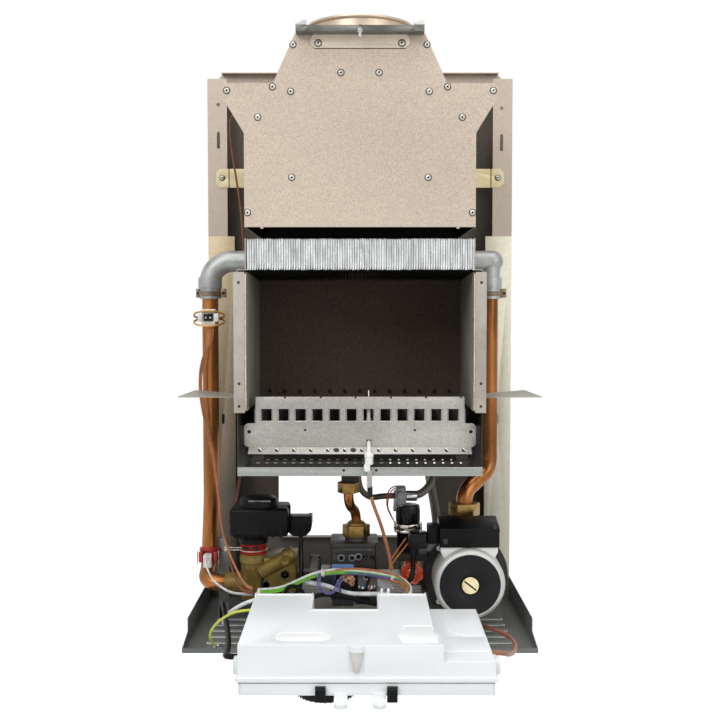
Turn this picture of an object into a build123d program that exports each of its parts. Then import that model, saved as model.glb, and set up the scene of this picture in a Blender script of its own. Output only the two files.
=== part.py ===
"""Wall-hung open-flue combi boiler in its service state: casing off, control box folded down.

Millimetres. X runs to the right, +Y into the wall, +Z up. The wall face is Y = 0 and the underside of the
bottom tray is Z = 0, both on the centre line. A "depth" is a distance in front of the wall, so Y = -depth.
"""
from build123d import *
from math import cos, pi, radians, sin, tan
import os

os.makedirs("parts", exist_ok=True)

# ---------------------------------------------------------------- driving sizes
SHEET = 1.2              # frame sheet
THIN = 1.0               # hood, chamber and burner sheet
FIT = 0.3                # gap between pieces that lie beside each other
RUN = 0.05               # radial clearance of a running fit

FRAME_W = 440.0          # over the side channels
FRAME_D = 50.0           # depth of the side channels
CHANNEL_TOP = 757.0
CHANNEL_SEAM = 531.0     # upper channel meets lower channel
UPPER_FLANGE = 28.0
LOWER_FLANGE = 38.0
BACK_FLANGE = 22.0
PANEL_TOP = 740.0
RAIL_TOP = 83.0          # lower rail, and sill of the lower window
WINDOW_LEFT = -122.8
WINDOW_RIGHT = 113.2
WINDOW_TOP = 235.0
CROSSBAR_W = 428.0
CROSSBAR_TOP = 773.0
HANG_Z = 757.0           # hanging slots in the crossbar
HANG_SPACING = 320.0
HANG_SLOT_W = 8.0
HANG_SLOT_L = 30.0

TRAY_D = 308.0
TRAY_LIP = 6.0
CHEEK_H = 31.0
CHEEK_D = 262.0          # where the tall part of the cheek stops
CHEEK_LOW = 14.0
LOUVRE_ROWS = 6
LOUVRE_PITCH = 26.0
LOUVRE_FIRST = 166.0
LOUVRE_W = 6.0
LOUVRE_IN = 20.0
LOUVRE_OUT = 196.0

HOOD_FRONT = 306.0       # depth of the front faces of hood, chamber and burner bar
HOOD_BACK = 45.0
HOOD_BOTTOM = 526.5
HOOD_NECK = 640.0
HOOD_EAR_LOW = 682.0
HOOD_EAR_TOP = 700.0
HOOD_TOP = 760.0
HOOD_HALF = 141.0
HOOD_EAR_HALF = 166.5
HOOD_STEP_HALF = 105.5
HOOD_TOP_HALF = 78.5
HOOD_LIP = 13.0

FLUE_D = 175.0           # depth of the flue axis
FLUE_R = 65.3            # inside radius of the spigot, for a 130 mm pipe
FLUE_WALL = 1.2
FLUE_BEAD_R = 70.5
FLUE_TOP = 799.0

LATCH_HALF = 77.0
LATCH_TAB_HALF = 60.0
LATCH_SCREW_X = 50.5
LATCH_SCREW_Z = 747.5
LATCH_SHELF_Z = 757.5
LATCH_T = 1.5

TAB_LOW = 601.0
TAB_HIGH = 628.0
TAB_OUT = 208.0
TAB_T = 1.5

TAB_SCREW_X = 199.0
TAB_SCREW_Z = 615.0
HEAD_R = 4.0
HEAD_H = 2.4

SCREW_R = 1.6
SCREW_HOLE_R = 1.8

FIN_BOTTOM = 474.0
FIN_TOP = 513.0
FIN_BACK = 130.0
FIN_FRONT = 304.0
FIN_PITCH = 3.0
FIN_T = 0.6
WATER_TUBES = 5
WATER_TUBE_R = 9.0

PIPE_R = 11.0            # 22 mm copper
PIPE_BORE = 10.0
PIPE_D = 145.0           # depth of both heating pipes
ELBOW_R = 14.5
ELBOW_Z = 491.0
FLOW_X = -205.0
RETURN_X = 178.0
ELBOW_FOOT = 440.0

FLOW_FOOT = (-180.0, 195.0, 60.0)
FLOW_LEAN = ((FLOW_X, PIPE_D, 160.0), (-207.0, 160.0, 74.0))

CHAMBER_HALF = 151.0
CHAMBER_FLANGE_OUT = 155.0
CHAMBER_FLANGE_IN = 141.5
CHAMBER_BOTTOM = 299.0
CHAMBER_BACK = 116.0
BOARD_T = 11.0

WING_Z = 316.0
BURNER_D = 285.0         # depth of the burner front plate
BURNER_HALF = 130.5
EAR_HALF = 145.0
WINDOW_PITCH = 21.2
BURNER_WINDOWS = 12
WINDOW_W = 15.0
WINDOW_Z = 294.5
WINDOW_H = 15.0
BAR_BOTTOM = 221.0
BAR_TOP = 232.0
SKIRT_BOTTOM = 211.0     # rear sheet of the burner frame
BOX_SCREW_Z = 228.0      # holes in the bar that take the ears of the closed control box
BOX_SCREW_X = 20.0

BLADE_WALL = 0.8

ELECTRODE_X = 11.0
ELECTRODE_D = 274.0
BOOT_D = 311.5
BOOT_Z = 236.0
CERAMIC_R = 2.6

GAS_X = -5.0
GAS_D = 200.0
GAS_FEED_X = -15.0
GAS_FEED_D = 232.0
GAS_PIPE_R = 6.5

COIL_X = -24.0
COIL_Z = 56.0
PLUNGER_R = 6.0

VESSEL_WALL = 1.5

VALVE_X = -142.0         # three-way valve axis
VALVE_D = 200.0
VALVE_R = 16.5
SPINDLE_R = 3.0
SPINDLE_TRAVEL = 8.0

PUMP_X = 141.4
PUMP_Z = 72.4
PUMP_R = 46.0
PUMP_BACK = 200.0
PUMP_FRONT = 258.0
VOLUTE_R = 56.0
VOLUTE_BACK = 160.0
SUCTION_D = 172.0
NUT_Z = 147.0
SHAFT_R = 4.0

FACE_R = 39.0
VENT_SCREW_R = 10.9

VENT_X = 65.0
VENT_D = 172.0
HOSE_STUB = (106.0, 152.0, 104.0)
RELIEF_X = 68.5
RELIEF_Z = 79.0

STEM_R = 4.0

EXCHANGER_TOP = 52.0
EXCHANGER_D = 123.0
TAIL_BOTTOM = -28.0
TAIL_D = 75.0
TAIL_PITCH = 65.0
TAIL_HOLE_R = 19.5
TAIL_HEX_R = 24.0
TAIL_HEX_H = 4.0
TAIL_SEAT = SHEET + TAIL_HEX_H
G34_R = 13.2             # outside radius of a 3/4 inch thread
G12_R = 10.4             # outside radius of a 1/2 inch thread

# control box, folded down
PIVOT_D = 324.2
PIVOT_Z = 7.2
PIN_R = 3.0
BOX_LEFT = -127.0
BOX_RIGHT = 141.0
BOX_REAR = 331.0
BOX_FRONT = 531.0
BOX_BOTTOM = 27.0
BOX_JOIN = 41.0
LIP_TOP = 46.0
STEP_TOP = 62.0
BOX_TOP = 80.0
BOX_WALL = 2.2
RECESS = 1.1
NOTCH_LEFT = -55.7
NOTCH_RIGHT = 20.7
NOTCH_D = 397.0
DIAL_X = -36.9
KNOB_D = 474.0
DIAL_R = 32.0
KNOB_R = 15.0
HEATING_X = 30.0
WATER_X = 72.0
RESET_X = 110.0
EAR_D = 545.0
EAR_R = 7.0
ARM_T = 4.0
ARMS = (-111.0, 123.0)

# ---------------------------------------------------------------- helpers
def front(depth):
    """Upright plane at a depth in front of the wall: local x is X, local y is Z, extrusion goes forward."""
    return Plane.XZ.offset(depth)


def block(x0, x1, d0, d1, z0, z1, mode=Mode.ADD):
    """Box between two widths, two depths and two heights."""
    with Locations(((x0 + x1) / 2, -(d0 + d1) / 2, (z0 + z1) / 2)):
        Box(x1 - x0, d1 - d0, z1 - z0, mode=mode)


def rod_y(x, z, d0, d1, radius, mode=Mode.ADD):
    """Cylinder along the depth."""
    with Locations((x, -(d0 + d1) / 2, z)):
        Cylinder(radius, d1 - d0, rotation=(90, 0, 0), mode=mode)


def rod_z(x, d, z0, z1, radius, mode=Mode.ADD):
    """Upright cylinder."""
    with Locations((x, -d, (z0 + z1) / 2)):
        Cylinder(radius, z1 - z0, mode=mode)


def rod_x(d, z, x0, x1, radius, mode=Mode.ADD):
    """Cylinder along the width."""
    with Locations(((x0 + x1) / 2, -d, z)):
        Cylinder(radius, x1 - x0, rotation=(0, 90, 0), mode=mode)


def save(piece, name):
    """Name a finished piece and write it."""
    piece.part.label = name
    export_step(piece.part, f"parts/{name}.step")


def route_points(route):
    """Route given as (x, depth, z) turned into vectors."""
    return [Vector(x, -d, z) for x, d, z in route]


def largest_radii(route):
    """Arc radius at each corner: 0.45 of the shorter run over the tangent of half the turn."""
    points = route_points(route)
    radii = []
    for before, corner, after in zip(points, points[1:], points[2:]):
        incoming = corner - before
        outgoing = after - corner
        turn = radians(incoming.get_angle(outgoing))
        radii.append(0.45 * min(incoming.length, outgoing.length) / tan(turn / 2))
    return radii


def sweep_tube(route, radii, outer, bore=0.0):
    """Tube along straight runs joined by tangent arcs, as a piece of its own."""
    with BuildLine() as path:
        FilletPolyline(*route_points(route), radius=radii)
    with BuildPart() as tube:
        with BuildSketch(Plane(origin=path.line @ 0, z_dir=path.line % 0)):
            Circle(outer)
            if bore:
                Circle(bore, mode=Mode.SUBTRACT)
        sweep(path=path.line)
    length = sum(edge.length for edge in path.edges())
    expected = (outer ** 2 - bore ** 2) * pi * length
    print(f"  tube {length:.0f} mm long, radii {min(radii):.0f}-{max(radii):.0f},",
          f"volume ratio {tube.part.volume / expected:.4f}")
    return tube.part


# ---------------------------------------------------------------- frame
def make_back_panel():
    half = FRAME_W / 2 - SHEET
    with BuildPart() as panel:
        with BuildSketch(front(0)):
            with Locations((0, (RAIL_TOP + PANEL_TOP) / 2)):
                Rectangle(2 * half, PANEL_TOP - RAIL_TOP)
            with Locations(((WINDOW_LEFT + WINDOW_RIGHT) / 2, (RAIL_TOP + WINDOW_TOP) / 2)):
                Rectangle(WINDOW_RIGHT - WINDOW_LEFT, WINDOW_TOP - RAIL_TOP, mode=Mode.SUBTRACT)
        extrude(amount=SHEET)
    save(panel, "back_panel")


def make_top_crossbar():
    slot_run = HANG_SLOT_L - HANG_SLOT_W
    with BuildPart() as bar:
        with BuildSketch(front(0)) as plate:
            with Locations((0, (PANEL_TOP + CROSSBAR_TOP) / 2)):
                Rectangle(CROSSBAR_W, CROSSBAR_TOP - PANEL_TOP)
            chamfer(plate.vertices().group_by(Axis.Z)[-1], length=10)
            with Locations((-HANG_SPACING / 2, HANG_Z), (HANG_SPACING / 2, HANG_Z)):
                SlotCenterToCenter(slot_run, HANG_SLOT_W, mode=Mode.SUBTRACT)
        extrude(amount=SHEET)
        block(-CROSSBAR_W / 2 + 10, CROSSBAR_W / 2 - 10, SHEET, 16, CROSSBAR_TOP - SHEET, CROSSBAR_TOP)
    save(bar, "top_crossbar")


def channel_profile(side, flange):
    """C profile of a side channel in plan; side is -1 for left and 1 for right."""
    half = FRAME_W / 2
    with Locations((side * (half - SHEET / 2), -FRAME_D / 2)):
        Rectangle(SHEET, FRAME_D)
    with Locations((side * (half - flange / 2), -FRAME_D + SHEET / 2)):
        Rectangle(flange, SHEET)
    with Locations((side * (half - BACK_FLANGE / 2), -SHEET * 1.5)):
        Rectangle(BACK_FLANGE, SHEET)


def make_upper_channels():
    hole_x = FRAME_W / 2 - 15.5
    with BuildPart() as channels:
        with BuildSketch(Plane.XY.offset(CHANNEL_SEAM)):
            channel_profile(-1, UPPER_FLANGE)
            channel_profile(1, UPPER_FLANGE)
        extrude(amount=CHANNEL_TOP - CHANNEL_SEAM)
        with BuildSketch(front(FRAME_D)):
            with Locations((-hole_x, 720), (hole_x, 715)):
                Circle(2.6)
            with Locations((-hole_x, 669), (hole_x, 666)):
                SlotCenterToCenter(20, 4.5, rotation=90)
        extrude(amount=-2 * SHEET, mode=Mode.SUBTRACT)
    save(channels, "upper_channels")


def make_lower_channels():
    slot_x = FRAME_W / 2 - 20
    with BuildPart() as channels:
        with BuildSketch(Plane.XY.offset(SHEET)):
            channel_profile(-1, LOWER_FLANGE)
            channel_profile(1, LOWER_FLANGE)
        extrude(amount=CHANNEL_SEAM - SHEET)
        with BuildSketch(front(FRAME_D)):
            with Locations((-slot_x, 265), (slot_x, 265)):
                SlotCenterToCenter(11, 4, rotation=90)
        extrude(amount=-2 * SHEET, mode=Mode.SUBTRACT)
    save(channels, "lower_channels")


def make_lower_rail():
    half = FRAME_W / 2 - SHEET
    with BuildPart() as rail:
        block(-half, half, 0, SHEET, SHEET, RAIL_TOP)
        block(WINDOW_LEFT, WINDOW_RIGHT, SHEET, 14, RAIL_TOP - SHEET, RAIL_TOP)
    save(rail, "lower_rail")


def make_bottom_tray():
    half = FRAME_W / 2
    with BuildPart() as tray:
        block(-half - SHEET, half + SHEET, 0, TRAY_D, 0, SHEET)
        block(-half - SHEET, half + SHEET, TRAY_D - SHEET, TRAY_D, SHEET, TRAY_LIP)
        with BuildSketch(Plane.YZ.offset(-half - SHEET), Plane.YZ.offset(half)):
            with BuildLine():
                Polyline((-4, SHEET), (-4, CHEEK_H), (-CHEEK_D, CHEEK_H), (-CHEEK_D, CHEEK_LOW),
                         (-TRAY_D + SHEET, TRAY_LIP), (-TRAY_D + SHEET, SHEET), close=True)
            make_face()
        extrude(amount=SHEET)
        with BuildSketch(Plane.XY):
            for row in range(LOUVRE_ROWS):
                depth = LOUVRE_FIRST + row * LOUVRE_PITCH
                middle = (LOUVRE_IN + LOUVRE_OUT) / 2
                with Locations((-middle, -depth), (middle, -depth)):
                    SlotOverall(LOUVRE_OUT - LOUVRE_IN, LOUVRE_W)
            with Locations(*[(tail * TAIL_PITCH, -TAIL_D) for tail in range(-2, 3)]):
                Circle(TAIL_HOLE_R)
        extrude(amount=SHEET, mode=Mode.SUBTRACT)
    save(tray, "bottom_tray")


# ---------------------------------------------------------------- hood and flue
HOOD_OUTLINE = [
    (-HOOD_HALF, HOOD_BOTTOM), (-HOOD_HALF, HOOD_NECK), (-HOOD_EAR_HALF, HOOD_EAR_LOW),
    (-HOOD_EAR_HALF, HOOD_EAR_TOP), (-HOOD_STEP_HALF, HOOD_EAR_TOP), (-HOOD_TOP_HALF, HOOD_TOP),
    (HOOD_TOP_HALF, HOOD_TOP), (HOOD_STEP_HALF, HOOD_EAR_TOP), (HOOD_EAR_HALF, HOOD_EAR_TOP),
    (HOOD_EAR_HALF, HOOD_EAR_LOW), (HOOD_HALF, HOOD_NECK), (HOOD_HALF, HOOD_BOTTOM),
]
HOOD_SCREWS = [(81.0, 746.0), (23.0, 712.5), (106.0, 695.5), (84.0, 690.0), (161.5, 691.0),
               (124.0, 659.0), (83.0, 586.5), (137.0, 544.0)]


def make_hood_front():
    with BuildPart() as sheet:
        with BuildSketch(front(HOOD_FRONT - THIN)):
            with BuildLine():
                Polyline(*HOOD_OUTLINE, close=True)
            make_face()
            with Locations(*[(side * x, z) for x, z in HOOD_SCREWS for side in (-1, 1)]):
                Circle(SCREW_HOLE_R, mode=Mode.SUBTRACT)
            with Locations((-LATCH_SCREW_X, LATCH_SCREW_Z), (LATCH_SCREW_X, LATCH_SCREW_Z)):
                Circle(SCREW_HOLE_R, mode=Mode.SUBTRACT)
        extrude(amount=THIN)
    save(sheet, "hood_front")


def make_hood_shell():
    """Folded sheet round the hood's outline, open below and in front, with lips for the front sheet."""
    inside = HOOD_FRONT - THIN - HOOD_BACK
    with BuildPart() as shell:
        with BuildSketch(front(HOOD_BACK)):
            with BuildLine():
                Polyline(*HOOD_OUTLINE, close=True)
            make_face()
        extrude(amount=inside)
        with BuildSketch(front(HOOD_BACK + THIN)) as hollow:
            with BuildLine():
                Polyline(*HOOD_OUTLINE, close=True)
            make_face()
            offset(amount=-THIN, kind=Kind.INTERSECTION, mode=Mode.REPLACE)
            with Locations((0, HOOD_BOTTOM)):
                Rectangle(2 * (HOOD_HALF - THIN), 4 * THIN)
        extrude(amount=inside - 2 * THIN, mode=Mode.SUBTRACT)
        with BuildSketch(front(HOOD_FRONT - 2 * THIN)) as mouth:
            with BuildLine():
                Polyline(*HOOD_OUTLINE, close=True)
            make_face()
            offset(amount=-HOOD_LIP, kind=Kind.INTERSECTION, mode=Mode.REPLACE)
            with Locations((0, HOOD_BOTTOM)):
                Rectangle(2 * (HOOD_HALF - HOOD_LIP), 2 * HOOD_LIP + 1)
        extrude(amount=THIN, mode=Mode.SUBTRACT)
        with BuildSketch(front(HOOD_FRONT - 2 * THIN)):
            with Locations(*[(side * x, z) for x, z in HOOD_SCREWS for side in (-1, 1)]):
                Circle(SCREW_HOLE_R)
            with Locations((-LATCH_SCREW_X, LATCH_SCREW_Z), (LATCH_SCREW_X, LATCH_SCREW_Z)):
                Circle(SCREW_HOLE_R)
        extrude(amount=THIN, mode=Mode.SUBTRACT)
        rod_z(0, FLUE_D, HOOD_TOP - 2 * THIN, HOOD_TOP + THIN, FLUE_R, mode=Mode.SUBTRACT)
    save(shell, "hood_shell")


def make_flue_spigot():
    """Flanged collar with a rolled bead, spun about the flue axis."""
    outer = FLUE_R + FLUE_WALL
    bead = (FLUE_BEAD_R - outer) / 2
    with BuildPart() as spigot:
        rod_z(0, FLUE_D, HOOD_TOP, HOOD_TOP + THIN, FLUE_R + 10)
        rod_z(0, FLUE_D, HOOD_TOP, FLUE_TOP, outer)
        with BuildSketch(Plane.XZ.offset(FLUE_D)):
            with Locations((outer + bead, FLUE_TOP - bead)):
                Circle(bead)
            with Locations((outer + bead / 2, FLUE_TOP - bead)):
                Rectangle(bead, 2 * bead)
        revolve(axis=Axis((0, -FLUE_D, 0), (0, 0, 1)))
        rod_z(0, FLUE_D, HOOD_TOP - 1, FLUE_TOP + 1, FLUE_R, mode=Mode.SUBTRACT)
    save(spigot, "flue_spigot")


def make_latch_bracket():
    """Angle that the casing hooks over: tab on the hood, shelf, raised front edge and two ears."""
    shelf_d = HOOD_FRONT + 18
    with BuildPart() as latch:
        with BuildSketch(front(HOOD_FRONT)) as tab:
            with Locations((0, (741.5 + LATCH_SHELF_Z + LATCH_T) / 2)):
                Rectangle(2 * LATCH_TAB_HALF, LATCH_SHELF_Z + LATCH_T - 741.5)
            chamfer(tab.vertices().group_by(Axis.Z)[0], length=5)
            with Locations((-LATCH_SCREW_X, LATCH_SCREW_Z), (LATCH_SCREW_X, LATCH_SCREW_Z)):
                Circle(SCREW_HOLE_R, mode=Mode.SUBTRACT)
        extrude(amount=LATCH_T)
        block(-LATCH_HALF, LATCH_HALF, HOOD_FRONT, shelf_d, LATCH_SHELF_Z, LATCH_SHELF_Z + LATCH_T)
        block(-LATCH_HALF, LATCH_HALF, shelf_d - LATCH_T, shelf_d, LATCH_SHELF_Z, 765)
        block(-LATCH_HALF, -LATCH_HALF + 13, shelf_d - LATCH_T, shelf_d, 765, 771)
        block(LATCH_HALF - 13, LATCH_HALF, shelf_d - LATCH_T, shelf_d, 765, 771)
        rod_y(0, 761, shelf_d, shelf_d + 3, 4)
        rod_y(-LATCH_TAB_HALF - 3, 761, shelf_d, shelf_d + 2, 2.5)
        rod_y(LATCH_TAB_HALF + 3, 761, shelf_d, shelf_d + 2, 2.5)
    save(latch, "latch_bracket")


def make_tab_brackets():
    """Brackets from the side channels to the hood's sides, one each side."""
    with BuildPart() as tabs:
        for side in (-1, 1):
            near, far = sorted((side * (HOOD_HALF + TAB_T), side * TAB_OUT))
            block(near, far, FRAME_D, FRAME_D + TAB_T, TAB_LOW, TAB_HIGH)
            low, high = sorted((side * HOOD_HALF, side * (HOOD_HALF + TAB_T)))
            block(low, high, FRAME_D, FRAME_D + 26, TAB_LOW, TAB_HIGH)
            rod_y(side * TAB_SCREW_X, TAB_SCREW_Z, FRAME_D - 1, FRAME_D + 3, SCREW_HOLE_R, mode=Mode.SUBTRACT)
    save(tabs, "tab_brackets")


def screw_along_depth(x, z, face, length):
    """Pan-head screw, head in front of a face and shank behind it."""
    rod_y(x, z, face, face + HEAD_H, HEAD_R)
    rod_y(x, z, face - length, face, SCREW_R)


def make_sheet_screws():
    with BuildPart() as screws:
        for side in (-1, 1):
            for x, z in HOOD_SCREWS:
                screw_along_depth(side * x, z, HOOD_FRONT, 6)
            screw_along_depth(side * LATCH_SCREW_X, LATCH_SCREW_Z, HOOD_FRONT + LATCH_T, 7)
            screw_along_depth(side * TAB_SCREW_X, TAB_SCREW_Z, FRAME_D + TAB_T, TAB_T)
    save(screws, "sheet_screws")


# ---------------------------------------------------------------- heat exchanger and pipes
def make_fin_block():
    """Fins brazed on five water tubes between two end plates, one brazed block."""
    count = int(2 * (HOOD_HALF - 1.5) / FIN_PITCH)
    first = -FIN_PITCH * (count - 1) / 2
    tube_pitch = (FIN_FRONT - FIN_BACK - 2 * WATER_TUBE_R - 12) / (WATER_TUBES - 1)
    with BuildPart() as fins:
        with BuildSketch(front(FIN_BACK)):
            with Locations(*[(first + i * FIN_PITCH, (FIN_BOTTOM + FIN_TOP) / 2) for i in range(count)]):
                Rectangle(FIN_T, FIN_TOP - FIN_BOTTOM)
        extrude(amount=FIN_FRONT - FIN_BACK)
        for i in range(WATER_TUBES):
            rod_x(FIN_BACK + 15 + i * tube_pitch, ELBOW_Z, -HOOD_HALF, HOOD_HALF, WATER_TUBE_R)
        for side in (-1, 1):
            low, high = sorted((side * (HOOD_HALF - 1.5), side * HOOD_HALF))
            block(low, high, FIN_BACK, FIN_FRONT, FIN_BOTTOM, FIN_TOP)
            low, high = sorted((side * (HOOD_HALF - 1.5), side * CHAMBER_HALF))
            block(low, high, FIN_BACK, FIN_FRONT - 8, FIN_BOTTOM, FIN_BOTTOM + 1.5)
    save(fins, "fin_block")


def make_elbows():
    """Cast left elbow, and the right one with its round end and tapered neck, above the two heating pipes."""
    bore = PIPE_R
    left = [(-HOOD_HALF, PIPE_D, ELBOW_Z), (FLOW_X, PIPE_D, ELBOW_Z), (FLOW_X, PIPE_D, ELBOW_FOOT)]
    with BuildPart() as elbows:
        add(sweep_tube(left, [30], ELBOW_R, bore))
        rod_x(PIPE_D, ELBOW_Z, HOOD_HALF, RETURN_X + 3, ELBOW_R)
        with Locations((RETURN_X + 3, -PIPE_D, ELBOW_Z)):
            Sphere(ELBOW_R)
        rod_z(RETURN_X, PIPE_D, ELBOW_FOOT, ELBOW_Z, bore + 1.5)
        with Locations((RETURN_X, -PIPE_D, 476)):
            Cone(bore + 2, ELBOW_R - 0.5, 16)
        for x in (FLOW_X, RETURN_X):
            rod_z(x, PIPE_D, ELBOW_FOOT, 469, ELBOW_R)
            rod_z(x, PIPE_D, 455, 469, ELBOW_R + 1.5)
            rod_z(x, PIPE_D, ELBOW_FOOT - 1, 470, bore, mode=Mode.SUBTRACT)
    save(elbows, "elbows")


def make_flow_pipe():
    route = [(FLOW_X, PIPE_D, ELBOW_FOOT + 13), *FLOW_LEAN, (FLOW_LEAN[1][0], *FLOW_FOOT[1:]), FLOW_FOOT]
    with BuildPart() as pipe:
        add(sweep_tube(route, [200, 20, 17], PIPE_R, PIPE_BORE))
    save(pipe, "flow_pipe")


def make_return_pipe():
    route = [(RETURN_X, PIPE_D, ELBOW_FOOT + 13), (RETURN_X, PIPE_D, 205), (PUMP_X, SUCTION_D, 179),
             (PUMP_X, SUCTION_D, NUT_Z)]
    with BuildPart() as pipe:
        add(sweep_tube(route, [26, 22], PIPE_R, PIPE_BORE))
    save(pipe, "return_pipe")


def make_pipe_clips():
    """Spring clips round the elbow feet, the wire clip of the three-way valve and a lead clip on the tray."""
    inner = ELBOW_R
    with BuildPart() as clips:
        for x in (FLOW_X, RETURN_X):
            rod_z(x, PIPE_D, 444, 450, inner + 1.4)
            rod_z(x, PIPE_D, 443, 451, inner, mode=Mode.SUBTRACT)
            block(x - 3, x + 3, PIPE_D + inner + 0.2, PIPE_D + inner + 9, 442, 452)
        ring = VALVE_R + 1
        rod_z(VALVE_X, VALVE_D, 108, 110, ring + 2)
        rod_z(VALVE_X, VALVE_D, 107, 111, ring, mode=Mode.SUBTRACT)
        block(VALVE_X - 36, VALVE_X - ring - 1, VALVE_D + 2, VALVE_D + 4, 108, 110)
        block(122, 130, 208, 216, SHEET, 14)
    save(clips, "pipe_clips")


def make_pipe_sensors():
    """Thermostat strapped to the flow pipe, and the sensor clipped to its foot."""
    seat = PIPE_R
    with BuildPart() as sensors:
        block(FLOW_X - 11, FLOW_X + 9, PIPE_D + 4, PIPE_D + 24, 402, 427)
        rod_z(FLOW_X, PIPE_D, 410, 418, seat + 1.2)
        rod_z(FLOW_X, PIPE_D, 400, 428, seat, mode=Mode.SUBTRACT)
        upper, lower = route_points(FLOW_LEAN)
        along = (upper - lower).normalized()
        with Locations(Plane(origin=lower + along * 18, x_dir=(1, 0, 0), z_dir=along)):
            Cylinder(seat + 2.5, 12)
            with Locations((0, -seat - 6, 0)):
                Box(12, 12, 14)
            Cylinder(seat, 20, mode=Mode.SUBTRACT)
    save(sensors, "pipe_sensors")


# ---------------------------------------------------------------- combustion chamber and burner
def make_chamber_shell():
    """Sheet chamber on side plates that reach back to the frame, open in front, above and below."""
    with BuildPart() as chamber:
        for side in (-1, 1):
            low, high = sorted((side * (CHAMBER_HALF - THIN), side * CHAMBER_HALF))
            block(low, high, SHEET, HOOD_FRONT - THIN, CHAMBER_BOTTOM, FIN_BOTTOM)
            low, high = sorted((side * CHAMBER_FLANGE_IN, side * CHAMBER_FLANGE_OUT))
            block(low, high, HOOD_FRONT - THIN, HOOD_FRONT, CHAMBER_BOTTOM, FIN_BOTTOM - 2)
            for z in (307, 335, 459):
                rod_y(side * 148.5, z, HOOD_FRONT - 2 * THIN, HOOD_FRONT + 1, SCREW_HOLE_R, mode=Mode.SUBTRACT)
        block(-CHAMBER_HALF, CHAMBER_HALF, CHAMBER_BACK, CHAMBER_BACK + THIN, CHAMBER_BOTTOM, FIN_BOTTOM)
    save(chamber, "chamber_shell")


def make_insulation_boards():
    inside = CHAMBER_HALF - THIN
    rear = CHAMBER_BACK + THIN
    bottom = CHAMBER_BOTTOM + 2
    top = FIN_BOTTOM - 2
    with BuildPart() as boards:
        block(-inside, inside, rear, rear + BOARD_T, bottom, top)
    with BuildPart() as left:
        block(-inside, -inside + BOARD_T, rear + BOARD_T, HOOD_FRONT - THIN, bottom, top)
    with BuildPart() as right:
        block(inside - BOARD_T, inside, rear + BOARD_T, HOOD_FRONT - THIN, bottom, top)
    boards.part = Compound(children=[boards.part.solid(), left.part.solid(), right.part.solid()])
    save(boards, "insulation_boards")


def make_air_wings():
    with BuildPart() as wings:
        for side in (-1, 1):
            with BuildSketch(Plane.XY.offset(WING_Z)):
                with BuildLine():
                    Polyline((side * CHAMBER_HALF, -240), (side * 222, -172), (side * 228, -280),
                             (side * CHAMBER_HALF, -284), close=True)
                make_face()
            extrude(amount=THIN)
    save(wings, "air_wings")


def make_burner_front():
    """Front plate of the burner: windows above, ears at the sides and a sloping lip below."""
    face = BURNER_D - THIN
    with BuildPart() as plate:
        with BuildSketch(front(face)):
            with Locations((0, 300)):
                Rectangle(2 * BURNER_HALF, 34)
            with Locations((0, 269)):
                RectangleRounded(2 * EAR_HALF, 30, 6)
            span = WINDOW_PITCH * (BURNER_WINDOWS - 1)
            with Locations(*[(i * WINDOW_PITCH - span / 2, WINDOW_Z) for i in range(BURNER_WINDOWS)]):
                Rectangle(WINDOW_W, WINDOW_H, mode=Mode.SUBTRACT)
            with Locations((-138.5, 273.5), (138.5, 273.5)):
                Circle(2.5, mode=Mode.SUBTRACT)
            with Locations((-68.5, 275.6), (68.5, 275.6)):
                Circle(1.6, mode=Mode.SUBTRACT)
        extrude(amount=THIN)
        block(-BURNER_HALF, BURNER_HALF, face - 9, face, 316, 317)
        with BuildSketch(Plane.YZ.offset(-EAR_HALF + 6)):
            with BuildLine():
                Polyline((-face, 254), (-BURNER_D, 254), (-BURNER_D - 11, 247), (-BURNER_D - 10, 246.2),
                         (-face, 253), close=True)
            make_face()
        extrude(amount=2 * (EAR_HALF - 6))
        hole = CERAMIC_R + FIT
        block(ELECTRODE_X - hole, ELECTRODE_X + hole, face - 1, BURNER_D + 1, 255, 263.5, mode=Mode.SUBTRACT)
    save(plate, "burner_front")


def make_burner_blades():
    """Flat burners standing side by side, rounded on top, with a row of ports."""
    back = CHAMBER_BACK + THIN + BOARD_T + 2
    count = BURNER_WINDOWS + 1
    with BuildPart() as blades:
        for i in range(count):
            x = (i - (count - 1) / 2) * WINDOW_PITCH
            block(x - 4.5, x + 4.5, back + THIN, BURNER_D - THIN, 250, 302)
            block(x - 3.7, x + 3.7, back + THIN + BLADE_WALL, BURNER_D - THIN - BLADE_WALL, 251, 301, Mode.SUBTRACT)
        for i in range(count):
            x = (i - (count - 1) / 2) * WINDOW_PITCH
            for step in range(14):
                depth = back + 12 + step * 10
                block(x - 3, x + 3, depth, depth + 2, 298, 303, mode=Mode.SUBTRACT)
    save(blades, "burner_blades")


def make_burner_frame():
    """Rectangular frame under the chamber that holds the burner; its front bar takes the closed box's ears."""
    back = CHAMBER_BACK + THIN + BOARD_T + 2
    with BuildPart() as frame:
        for side in (-1, 1):
            low, high = sorted((side * (CHAMBER_HALF - THIN), side * CHAMBER_HALF))
            block(low, high, back, HOOD_FRONT - THIN, BAR_BOTTOM, CHAMBER_BOTTOM)
            low, high = sorted((side * (EAR_HALF - 10), side * CHAMBER_HALF))
            block(low, high, BURNER_D - 2 * THIN, BURNER_D - THIN, 256, 281)
        block(-CHAMBER_HALF, CHAMBER_HALF, back, back + THIN, SKIRT_BOTTOM, CHAMBER_BOTTOM)
        block(-CHAMBER_HALF, CHAMBER_HALF, HOOD_FRONT - THIN, HOOD_FRONT, BAR_BOTTOM, BAR_TOP)
        block(-CHAMBER_HALF, CHAMBER_HALF, HOOD_FRONT - 12, HOOD_FRONT, BAR_BOTTOM, BAR_BOTTOM + THIN)
        for x in (-BOX_SCREW_X, BOX_SCREW_X):
            rod_y(x, BOX_SCREW_Z, HOOD_FRONT - 3, HOOD_FRONT + 1, 1.7, mode=Mode.SUBTRACT)
    save(frame, "burner_frame")


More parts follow.
